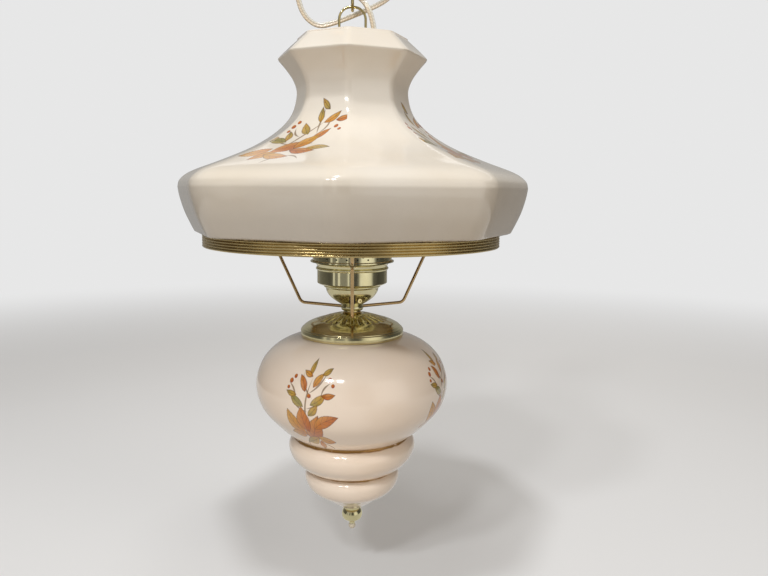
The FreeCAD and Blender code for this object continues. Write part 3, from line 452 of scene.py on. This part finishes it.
def raised(name, outline, sides, round_by=0.0, turn=0.0, straight_cuts=0):
    """A wall raised ring by ring from a circle; each (radius, height) of the outline, in mm, is a ring."""
    deselect()
    outline = [(r * MM, z * MM) for r, z in outline]
    first_r, first_z = outline[0]
    bpy.ops.mesh.primitive_circle_add(vertices=sides, radius=first_r, location=(0, 0, first_z))
    wall = bpy.context.object
    wall.name = name
    bpy.ops.object.transform_apply(location=True, rotation=True, scale=True)
    bpy.ops.object.mode_set(mode="EDIT")
    bpy.ops.mesh.select_all(action="SELECT")
    if round_by:
        bpy.ops.mesh.bevel(offset=round_by * first_r, segments=6, affect="VERTICES")
        bpy.ops.object.mode_set(mode="OBJECT")
        longest = max((wall.data.vertices[e.vertices[0]].co - wall.data.vertices[e.vertices[1]].co).length
                      for e in wall.data.edges)
        for edge in wall.data.edges:
            length = (wall.data.vertices[edge.vertices[0]].co - wall.data.vertices[edge.vertices[1]].co).length
            edge.select = length > longest * 0.9
        for vertex in wall.data.vertices:
            vertex.select = False
        bpy.ops.object.mode_set(mode="EDIT")
        bpy.ops.mesh.select_mode(type="EDGE")
        bpy.ops.mesh.subdivide(number_cuts=straight_cuts)
        bpy.ops.mesh.select_mode(type="VERT")
        bpy.ops.mesh.select_all(action="SELECT")
    for (r0, z0), (r1, z1) in zip(outline[:-1], outline[1:]):
        bpy.ops.mesh.extrude_edges_move(TRANSFORM_OT_translate={"value": (0, 0, z1 - z0)})
        grow = r1 / r0
        bpy.ops.transform.resize(value=(grow, grow, 1), center_override=(0, 0, z1))
    bpy.ops.object.mode_set(mode="OBJECT")
    wall.data.transform(Matrix.Rotation(math.radians(turn), 4, "Z"))
    return wall


def inset(outline, wall):
    """The outline moved one wall inwards, with mitred corners, and drawn from its far end back."""
    inner = []
    for i, (r, z) in enumerate(outline):
        before = outline[i - 1] if i else (r, z)
        after = outline[i + 1] if i + 1 < len(outline) else (r, z)
        one = Vector((r - before[0], z - before[1]))
        two = Vector((after[0] - r, after[1] - z))
        one = two if one.length == 0 else one
        two = one if two.length == 0 else two
        mid = (one.normalized() + two.normalized()).normalized()
        reach = wall / max(mid.dot(one.normalized()), 0.5)
        inner.append((r - mid.y * reach, z + mid.x * reach))
    return inner[::-1]


def apply_modifier(piece, kind, **settings):
    """A modifier added with its settings and applied."""
    deselect()
    piece.select_set(True)
    bpy.context.view_layer.objects.active = piece
    modifier = piece.modifiers.new(kind.lower(), kind)
    for name, value in settings.items():
        setattr(modifier, name, value)
    bpy.ops.object.modifier_apply(modifier=modifier.name)


MERGE_WITHIN = 0.00001


def tidy(piece, sharp_deg=None):
    """Doubles merged, faces outwards, smooth shading."""
    deselect()
    piece.select_set(True)
    bpy.context.view_layer.objects.active = piece
    bpy.ops.object.mode_set(mode="EDIT")
    bpy.ops.mesh.select_all(action="SELECT")
    bpy.ops.mesh.remove_doubles(threshold=MERGE_WITHIN)
    bpy.ops.mesh.normals_make_consistent(inside=False)
    bpy.ops.object.mode_set(mode="OBJECT")
    if sharp_deg is None:
        bpy.ops.object.shade_smooth()
    else:
        bpy.ops.object.shade_smooth_by_angle(angle=math.radians(sharp_deg))


def finished(piece, material, body, slot, *nodes):
    """The piece with its material, riding its body in place of its CAD nodes."""
    piece.data.materials.clear()
    piece.data.materials.append(material)
    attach(piece, body)
    if nodes:
        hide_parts(*nodes)
    return piece


def shares(pairs, r, tall, z):
    """Shares of a radius and a height, from the foot at z, as points in mm."""
    return [(share_r * r, z + share_z * tall) for share_r, share_z in pairs]


# Where the sprig is not drawn
OFF_PANEL = (500.0, 500.0)


def panel_map(piece, centres, half_turn, coordinates):
    """A UV map in millimetres about each painted panel's middle; other faces are put far off it."""
    layer = piece.data.uv_layers.new(name="panel")
    for face in piece.data.polygons:
        middle = Vector(face.center)
        azimuth = math.degrees(math.atan2(middle.x, -middle.y))
        outwards = face.normal.dot(Vector((middle.x, middle.y, 0)).normalized()) > 0.02
        near = None
        for centre in centres:
            off = (azimuth - centre + 180) % 360 - 180
            if abs(off) <= half_turn and outwards:
                near = centre
        for loop in face.loop_indices:
            at = piece.data.vertices[piece.data.loops[loop].vertex_index].co
            layer.data[loop].uv = OFF_PANEL if near is None else coordinates(at, near)


# Shade: an octagon with soft corners
shade_low, shade_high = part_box("shade")
shade_tall = (shade_high.z - shade_low.z) / MM
shade_foot = shade_low.z / MM
shade_r = 180.1
SHADE_WALL = 6.2
COLLAR_BORE_R = 49.0
bell_pairs = (
    (0.912, 0.006), (0.931, 0.040), (0.965, 0.108), (0.988, 0.175), (0.9985, 0.222), (0.9995, 0.247),
    (0.984, 0.280), (0.919, 0.321), (0.747, 0.380), (0.563, 0.451), (0.425, 0.531), (0.344, 0.615),
    (0.314, 0.717), (0.331, 0.784), (0.372, 0.841), (0.412, 0.884))
collar_pairs = ((0.412, 0.884), (0.417, 0.893), (0.411, 0.903), (0.362, 0.946), (0.309, 0.989))
shade_line = smooth_line(shares(bell_pairs, shade_r, shade_tall, shade_foot), 4)
shade_line += smooth_line(shares(collar_pairs, shade_r, shade_tall, shade_foot), 3)[1:]
SHADE_TURN = -4.0
shade_inside = [(max(r, COLLAR_BORE_R), z) for r, z in inset(shade_line, SHADE_WALL)]
rim_top = (shade_line[-1][0] + shade_inside[0][0]) / 2, shade_line[-1][1] + 1.8
foot_mid = (shade_line[0][0] + shade_inside[-1][0]) / 2, shade_line[0][1] - 1.2
shade_wall = [foot_mid] + shade_line + [
    (rim_top[0] + 1.8, rim_top[1] - 0.3), rim_top, (rim_top[0] - 1.8, rim_top[1] - 0.3)] + shade_inside + [foot_mid]
shade = raised("glazed_shade", shade_wall, 8, round_by=0.075, turn=SHADE_TURN, straight_cuts=5)
tidy(shade)

arc_length = [0.0]
for (r0, z0), (r1, z1) in zip(shade_line[:-1], shade_line[1:]):
    arc_length.append(arc_length[-1] + math.hypot(r1 - r0, z1 - z0))
SPRIG_HEIGHT = 0.45 * shade_tall + shade_foot
SPRIG_ASIDE = -7.5
SLOPE_STRETCH = 1.4
OFF_FACET = -300.0


def climbed(z):
    """How far up the shade's outside a height is, measured along the wall from the foot."""
    for i, ((r0, z0), (r1, z1)) in enumerate(zip(shade_line[:-1], shade_line[1:])):
        if z0 <= z <= z1:
            share = (z - z0) / max(z1 - z0, 1e-9)
            return arc_length[i] + share * (arc_length[i + 1] - arc_length[i])
    return None


SPRIG_MIDDLE = climbed(SPRIG_HEIGHT)


def facet_place(at, centre):
    """Across a facet and up its slope, in mm, from the sprig's middle."""
    turn = math.radians(centre)
    across = at.x * math.cos(turn) + at.y * math.sin(turn)
    up = climbed(at.z / MM)
    if up is None:
        return across / MM, OFF_FACET
    return across / MM - SPRIG_ASIDE, (up - SPRIG_MIDDLE) / SLOPE_STRETCH


panel_map(shade, [SHADE_TURN - 22.5 + 90 * i for i in range(4)], 22.4, facet_place)
finished(shade, IVORY, "lamp", "shade_glaze", "shade")

# Font: a round bulb over two smaller rings
font_r = 99.8
font_foot = font_low.z / MM
tall = font_tall / MM
foot_pairs = ((0.070, 0.0), (0.134, 0.0), (0.192, 0.021), (0.245, 0.041), (0.317, 0.071))
low_ring_pairs = ((0.317, 0.071), (0.404, 0.098), (0.470, 0.134), (0.501, 0.180), (0.490, 0.212), (0.446, 0.232))
high_ring_pairs = ((0.446, 0.232), (0.500, 0.246), (0.556, 0.266), (0.634, 0.312), (0.668, 0.364), (0.652, 0.402),
                   (0.598, 0.432))
bulb_pairs = (
    (0.598, 0.432), (0.690, 0.466), (0.795, 0.518), (0.947, 0.616), (1.0, 0.736), (0.944, 0.843), (0.838, 0.915),
    (0.698, 0.963), (0.543, 0.989), (0.400, 0.999))
font_line = []
for pairs in (foot_pairs, low_ring_pairs, high_ring_pairs, bulb_pairs):
    font_line += smooth_line(shares(pairs, font_r, tall, font_foot), 5)[1 if font_line else 0:]
font = raised("glazed_font", font_line, 128)
tidy(font)
FONT_SPRIG_Z = font_foot + 0.700 * tall


def bulb_place(at, centre):
    """Round the font's bulb and up it, in mm, from the sprig's middle."""
    azimuth = math.degrees(math.atan2(at.x, -at.y))
    off = (azimuth - centre + 180) % 360 - 180
    return math.radians(off) * font_r * 0.97, at.z / MM - FONT_SPRIG_Z


panel_map(font, [-25.0 + 90 * i for i in range(4)], 45.0, bulb_place)
finished(font, BLUSH, "lamp", "font_glaze", "font")

# Vase cap with pressed flutes
cap_low, cap_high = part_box("vase_cap")
cap_foot = cap_low.z / MM
cap_tall = (cap_high.z - cap_low.z) / MM
cap_r = 53.2
cap_line = [(cap_r - 1.1, cap_foot), (cap_r - 0.3, cap_foot), (cap_r, cap_foot + 0.4), (cap_r, cap_foot + 6.4),
            (cap_r - 0.3, cap_foot + 7.0), (cap_r - 0.9, cap_foot + 7.3), (cap_r - 1.1, cap_foot + 7.7),
            (cap_r - 1.1, cap_foot + 8.1), (cap_r - 1.6, cap_foot + 8.5)]
dome_pairs = ((0.952, 0.410), (0.905, 0.505), (0.810, 0.620), (0.735, 0.685), (0.670, 0.725), (0.630, 0.745),
              (0.600, 0.775), (0.560, 0.815), (0.480, 0.870), (0.400, 0.925), (0.320, 0.968), (0.230, 0.999))
cap_line += smooth_line(shares(dome_pairs, cap_r, cap_tall, cap_foot), 3)
cap_line += [(10.6, cap_foot + cap_tall), (5.3, cap_foot + cap_tall)]
cap = raised("fluted_cap", cap_line, 192)


def press(piece, radii, count, per, depth):
    """Every valley of the flutes pushed down, with half as much beside it."""
    for steps, share in (((0,), 1.0), ((1, per - 1), 0.55)):
        deselect()
        piece.select_set(True)
        bpy.context.view_layer.objects.active = piece
        bpy.ops.object.mode_set(mode="EDIT")
        bpy.ops.mesh.select_mode(type="VERT")
        bpy.ops.mesh.select_all(action="DESELECT")
        bpy.ops.object.mode_set(mode="OBJECT")
        for vertex in piece.data.vertices:
            r = math.hypot(vertex.co.x, vertex.co.y) / MM
            turn = math.atan2(vertex.co.y, vertex.co.x) / (2 * math.pi) * count * per
            vertex.select = radii[0] < r < radii[1] and round(turn) % per in steps
        bpy.ops.object.mode_set(mode="EDIT")
        bpy.ops.transform.translate(value=(0, 0, -depth * share * MM))
        bpy.ops.object.mode_set(mode="OBJECT")


press(cap, (13.0, 36.0), 24, 8, 1.1)
press(cap, (16.0, 33.0), 24, 8, 1.0)
apply_modifier(cap, "SOLIDIFY", thickness=0.0008, offset=-1.0, use_rim=True)
tidy(cap, 60)
finished(cap, CAP_BRASS, "lamp", "brass_polished", "vase_cap")


# Cord: flat twin flex
CORD_WIDTH = 5.2
CORD_THICK = 2.6
coil_z = -138.10
coil_outer, coil_inner = 48.3, 28.5
coil_pitch, coil_step_back = 6.6, 5.8
coil_front = 15.0
coil_start_deg = 250.0
coil_exit_r = 49.6
STEP_DEG = 30.0
LAYER_STEPS = 36
ROUTE_STEPS = 8
ROUTE_GAP = 0.0004
EASE = 1.034  # a spline runs inside its points, so they stand out by this


def coil_route():
    """Twelve points a turn: four layers of three turns, winding in, out, in and out."""
    places = []
    swept = 0.0
    for layer in range(4):
        y = coil_front + layer * coil_step_back
        for step in range(LAYER_STEPS + 1):
            travelled = coil_pitch * step / 12
            r = coil_outer - travelled if layer % 2 == 0 else coil_inner + travelled
            places.append((swept + STEP_DEG * step, r, y))
        swept += LAYER_STEPS * STEP_DEG
        if layer < 3:
            for step in range(1, 6):
                places.append((swept + STEP_DEG * step, r, y + coil_step_back * step / 6))
            swept += 180.0
    last = places[-1][0]
    run = (coil_start_deg - last) % 360.0
    steps = int(run // STEP_DEG)
    for step in range(1, steps + 1):
        places.append((last + run * step / steps, coil_outer + (coil_exit_r - coil_outer) * step / steps, y))
    route = []
    for turned, r, y in places:
        angle = math.radians(coil_start_deg - turned)
        route.append((r * EASE * math.cos(angle), y, coil_z + r * EASE * math.sin(angle)))
    return route


# Routes in mm: up from the top hub to the coil, and from the coil down and up again to the plug
rise_points = [(23.0, 6.0, -266.0), (23.0, 6.0, -252.0), (22.6, 6.2, -235.0), (20.6, 6.8, -217.5),
               (16.0, 9.0, -202.5), (6.0, 13.5, -190.0)]
tail_points = [(49.6, 32.4, -160.0), (45.0, 30.0, -178.5), (34.0, 25.5, -191.5), (18.0, 21.5, -200.5),
               (0.0, 19.5, -208.5), (-18.0, 19.0, -215.5), (-34.0, 20.0, -219.5), (-47.0, 22.0, -211.0),
               (-54.5, 23.5, -196.0), (-57.3, 23.7, -172.0), (-57.3, 23.7, -152.0), (-57.3, 23.7, -134.5)]


def route_line(points):
    """Points in metres along a smooth spline, from its control points in mm."""
    curve = bpy.data.curves.new("route", "CURVE")
    curve.dimensions = "3D"
    spline = curve.splines.new("NURBS")
    spline.points.add(len(points) - 1)
    for point, (x, y, z) in zip(spline.points, points):
        point.co = (x * MM, y * MM, z * MM, 1.0)
    spline.order_u = 3
    spline.use_endpoint_u = True
    spline.resolution_u = ROUTE_STEPS
    holder = bpy.data.objects.new("route", curve)
    bpy.context.scene.collection.objects.link(holder)
    bpy.context.view_layer.update()
    mesh = bpy.data.meshes.new_from_object(holder.evaluated_get(bpy.context.evaluated_depsgraph_get()))
    line = [vertex.co.copy() for vertex in mesh.vertices]
    bpy.data.objects.remove(holder)
    bpy.data.meshes.remove(mesh)
    kept = [line[0]]
    for point in line[1:]:
        if (point - kept[-1]).length > ROUTE_GAP:
            kept.append(point)
    return kept


def flex_section():
    """The outline of two round cores side by side, joined by a web, in metres."""
    core = CORD_THICK / 2
    reach = CORD_WIDTH / 2 - core
    section = []
    for side in (1, -1):
        for step in range(9):
            angle = math.radians(-140 + 35 * step)
            x = reach + core * math.cos(angle)
            y = core * math.sin(angle)
            section.append((side * x * MM, side * y * MM))
    return section


def flex(name, line, flat_way):
    """Twin flex along a line, its flat side carried on without twist."""
    section = flex_section()
    count = len(section)
    points = []
    faces = []
    uvs = []
    along = 0.0
    across = Vector(flat_way)
    for i, at in enumerate(line):
        heading = (line[min(i + 1, len(line) - 1)] - line[max(i - 1, 0)]).normalized()
        across = (across - heading * across.dot(heading)).normalized()
        up = heading.cross(across)
        if i:
            along += (at - line[i - 1]).length
        for x, y in section:
            points.append(at + across * x + up * y)
        if i:
            for k in range(count):
                following = (k + 1) % count
                base = (i - 1) * count
                faces.append((base + k, base + following, base + count + following, base + count + k))
                step = (at - line[i - 1]).length
                low, high = k / count, (k + 1) / count
                uvs.append(((low, along - step), (high, along - step), (high, along), (low, along)))
    faces.append(tuple(reversed(range(count))))
    uvs.append(tuple((0.5, 0.0) for _ in range(count)))
    last = (len(line) - 1) * count
    faces.append(tuple(range(last, last + count)))
    uvs.append(tuple((0.5, along) for _ in range(count)))
    mesh = bpy.data.meshes.new(name)
    mesh.from_pydata([tuple(point) for point in points], [], faces)
    layer = mesh.uv_layers.new(name="cord")
    for face, corners in zip(mesh.polygons, uvs):
        for loop, corner in zip(face.loop_indices, corners):
            layer.data[loop].uv = corner
    piece = bpy.data.objects.new(name, mesh)
    bpy.context.scene.collection.objects.link(piece)
    for face in mesh.polygons:
        face.use_smooth = len(face.vertices) == 4
    return piece, along


supply_line = route_line(rise_points + coil_route()[1:] + tail_points)
supply, supply_length = flex("supply_cord", supply_line, (1.0, 0.0, 0.0))
supply.data.materials.append(CORD)
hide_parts("cord_rise", "cord_coil", "cord_tail")
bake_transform(supply)
print("supply cord", round(supply_length, 4), "m, faces", len(supply.data.polygons))

# From the socket out along a wire, over the ring and up to the top hub, in mm
inner_points = [
    (0.0, -9.4, -493.6), (0.0, -20.0, -493.6), (0.0, -34.0, -493.6), (0.0, -53.0, -498.2), (0.0, -61.5, -495.5),
    (0.0, -69.0, -483.5), (0.0, -81.0, -462.0), (0.0, -88.0, -450.0), (0.0, -99.0, -445.8), (0.0, -119.0, -441.8),
    (0.0, -129.2, -434.0), (0.0, -129.2, -417.0), (0.0, -117.0, -403.5), (0.0, -92.0, -378.6), (0.0, -60.0, -346.8),
    (0.0, -36.0, -323.0), (0.0, -29.7, -314.0), (0.0, -29.7, -304.0), (6.0, -20.0, -297.0), (15.0, -5.0, -289.0),
    (23.0, 6.0, -281.0), (23.0, 6.0, -266.2)]
inner_line = route_line(inner_points)
inner, inner_length = flex("inner_cord", inner_line, (0.0, 0.0, 1.0))
finished(inner, CORD, "lamp", "cord_clear_gold", "cord_inner")
print("inner cord", round(inner_length, 4))

# Camera
camera = bpy.data.objects.new("camera", bpy.data.cameras.new("camera"))
bpy.context.scene.collection.objects.link(camera)
FOCAL_PIXELS, PICTURE_PIXELS, SENSOR_WIDTH = 690.0, 768.0, 36.0
ASIDE, PITCH, ROLL = -2.66, 7.787, 0.41
camera.data.sensor_width = SENSOR_WIDTH
camera.data.lens = FOCAL_PIXELS / PICTURE_PIXELS * SENSOR_WIDTH
camera.data.clip_end = 60.0
camera.matrix_world = (
    Matrix.Translation((0.0, -0.7096, -0.3861))
    @ Matrix.Rotation(math.radians(ASIDE), 4, "Z")
    @ Matrix.Rotation(math.radians(90.0 - PITCH), 4, "X")
    @ Matrix.Rotation(math.radians(ROLL), 4, "Z"))
bpy.context.scene.camera = camera


# Studio
def lamp(name, place, aim, size, power, warm, mirrored=False, cone=None):
    """An area lamp, or a spot where a cone is given. Only a mirrored one shows in glossy surfaces."""
    light = bpy.data.lights.new(name, "SPOT" if cone else "AREA")
    if cone:
        light.spot_size = math.radians(cone)
        light.spot_blend = 0.8
        light.shadow_soft_size = size / 2
    else:
        light.shape = "DISK"
        light.size = size
    light.energy = power
    light.color = warm
    holder = bpy.data.objects.new(name, light)
    holder.location = place
    holder.rotation_euler = (Vector(aim) - Vector(place)).to_track_quat("-Z", "Y").to_euler()
    holder.visible_glossy = mirrored
    bpy.context.scene.collection.objects.link(holder)


middle = (0.0, 0.0, -0.42)
lamp("key_left", (-0.95, -1.50, 1.05), middle, 0.26, 11.0, (0.965, 0.98, 1.0), mirrored=True)
lamp("key_right", (-0.50, -1.65, 1.10), middle, 0.26, 10.0, (0.965, 0.98, 1.0), mirrored=True)
lamp("top", (-0.20, -0.72, 1.45), middle, 0.22, 13.5, (0.965, 0.98, 1.0), mirrored=True)
lamp("fill", (1.60, -1.30, 0.30), middle, 0.90, 6.0, (1.0, 0.96, 0.91))
lamp("back", (0.70, 1.80, 0.90), middle, 0.90, 12.0, (1.0, 0.97, 0.93))
lamp("over", (0.10, -0.30, 1.60), middle, 0.60, 5.0, (1.0, 0.99, 0.97))
lamp("low", (-0.30, -1.50, -0.74), (0.0, 0.0, -0.655), 0.20, 34.0, (1.0, 0.97, 0.93), cone=14.0)

PALE = (0.80, 0.80, 0.80, 1.0)
world = bpy.data.worlds.new("studio")
bpy.context.scene.world = world
world.use_nodes = True
sky = world.node_tree
background = sky.nodes["Background"]
background.inputs["Color"].default_value = (1.0, 0.94, 0.87, 1.0)
background.inputs["Strength"].default_value = 0.29
pale = sky.nodes.new("ShaderNodeBackground")
pale.inputs["Color"].default_value = PALE
path = sky.nodes.new("ShaderNodeLightPath")
choose = sky.nodes.new("ShaderNodeMixShader")
seen = path.outputs["Is Camera Ray"]
for ray in ("Is Glossy Ray", "Is Transmission Ray"):
    either = sky.nodes.new("ShaderNodeMath")
    either.operation = "MAXIMUM"
    sky.links.new(seen, either.inputs[0])
    sky.links.new(path.outputs[ray], either.inputs[1])
    seen = either.outputs[0]
sky.links.new(seen, choose.inputs[0])
sky.links.new(background.outputs[0], choose.inputs[1])
sky.links.new(pale.outputs[0], choose.inputs[2])
sky.links.new(choose.outputs[0], sky.nodes["World Output"].inputs[0])

deselect()
FLOOR_Z = -0.800
bpy.ops.mesh.primitive_circle_add(vertices=96, radius=24.0, fill_type="NGON", location=(0, 0, FLOOR_Z))
floor = bpy.context.object
floor.name = "floor"
floor_finish = Finish("floor_pale")
bounced = floor_finish.node("ShaderNodeLightPath", {}, {}, "Is Diffuse Ray")
ground = floor_finish.blend(floor_finish.noise(3.0) * 0.04, (0.76, 0.76, 0.76, 1), (0.72, 0.72, 0.72, 1))
floor_finish.surface(Base_Color=floor_finish.blend(bounced, ground, (0.31, 0.265, 0.215, 1)), Roughness=0.85)
reach = floor_finish.node("ShaderNodeVectorMath", {"operation": "LENGTH"}, {0: floor_finish.place()}, "Value")
glow = floor_finish.node("ShaderNodeEmission", {}, {"Color": PALE, "Strength": 1.0 - bounced * 0.78})
both = floor_finish.node("ShaderNodeMixShader", {}, {0: reach.between(1.0, 2.6), 2: glow})
floor_finish.tree.links.new(floor_finish.shader.outputs[0], both.socket.node.inputs[1])
floor_finish.tree.links.new(both.socket, floor_finish.tree.nodes["Material Output"].inputs[0])
floor.data.materials.append(floor_finish.material)


# A dim curtain with pale gaps, and dim cloths over and under, that only glossy surfaces show
deselect()
CURTAIN_R, CURTAIN_TALL, CURTAIN_Z = 1.25, 1.20, -0.19
bpy.ops.mesh.primitive_cylinder_add(vertices=96, radius=CURTAIN_R, depth=CURTAIN_TALL, end_fill_type="NOTHING",
                                    location=(0, 0, CURTAIN_Z))
bpy.ops.object.transform_apply(location=True)
curtain = bpy.context.object
curtain.name = "curtain"
curtain_finish = Finish("curtain_cloth")
x, y, _ = curtain_finish.parts(curtain_finish.place())
round_share = curtain_finish.node("ShaderNodeMath", {"operation": "ARCTAN2"}, {0: x, 1: -y}) * (0.5 / math.pi) + 0.5
# Degrees round from the front, and how light the cloth is there
curtain_stops = (
    (-180, 0.30), (-150, 0.34), (-125, 0.16), (-100, 0.12), (-78, 0.08), (-66, 0.12), (-61, 0.90), (-56, 0.20),
    (-48, 0.24), (-43, 1.00), (-38, 0.26), (-20, 0.26), (-15, 0.34), (-12, 1.00), (-8, 0.22), (0, 0.08), (14, 0.08),
    (20, 0.20), (27, 0.85), (46, 1.00), (62, 0.80), (72, 0.12), (92, 0.06), (125, 0.10), (150, 0.30), (180, 0.30))
cloth = curtain_finish.node("ShaderNodeValToRGB", {"stops": [
    ((degrees + 180) / 360, (light, light * 0.985, light * 0.955, 1.0)) for degrees, light in curtain_stops]},
    {"Fac": round_share})
curtain_finish.surface(Base_Color=(0.0, 0.0, 0.0, 1.0), Roughness=1.0, Specular_IOR_Level=0.0, Emission_Color=cloth,
                       Emission_Strength=1.0)
curtain.data.materials.append(curtain_finish.material)
panels = [curtain]
cloths = (("roof_cloth", 3.4, 2.0, 0.22), ("floor_cloth", CURTAIN_R, FLOOR_Z + 0.005, 0.58))
for name, radius, height, light in cloths:
    deselect()
    bpy.ops.mesh.primitive_circle_add(vertices=64, radius=radius, fill_type="NGON", location=(0, 0, height))
    bpy.ops.object.transform_apply(location=True)
    panel = bpy.context.object
    panel.name = name
    cloth = Finish(name)
    cloth.surface(Base_Color=(0.0, 0.0, 0.0, 1.0), Roughness=1.0, Specular_IOR_Level=0.0,
                  Emission_Color=(light, light * 0.98, light * 0.94, 1.0), Emission_Strength=1.0)
    panel.data.materials.append(cloth.material)
    panels.append(panel)
for panel in panels:
    panel.visible_camera = False
    panel.visible_diffuse = False
    panel.visible_transmission = False
    panel.visible_shadow = False

bpy.context.scene.view_settings.view_transform = "Standard"
bpy.context.view_layer.update()
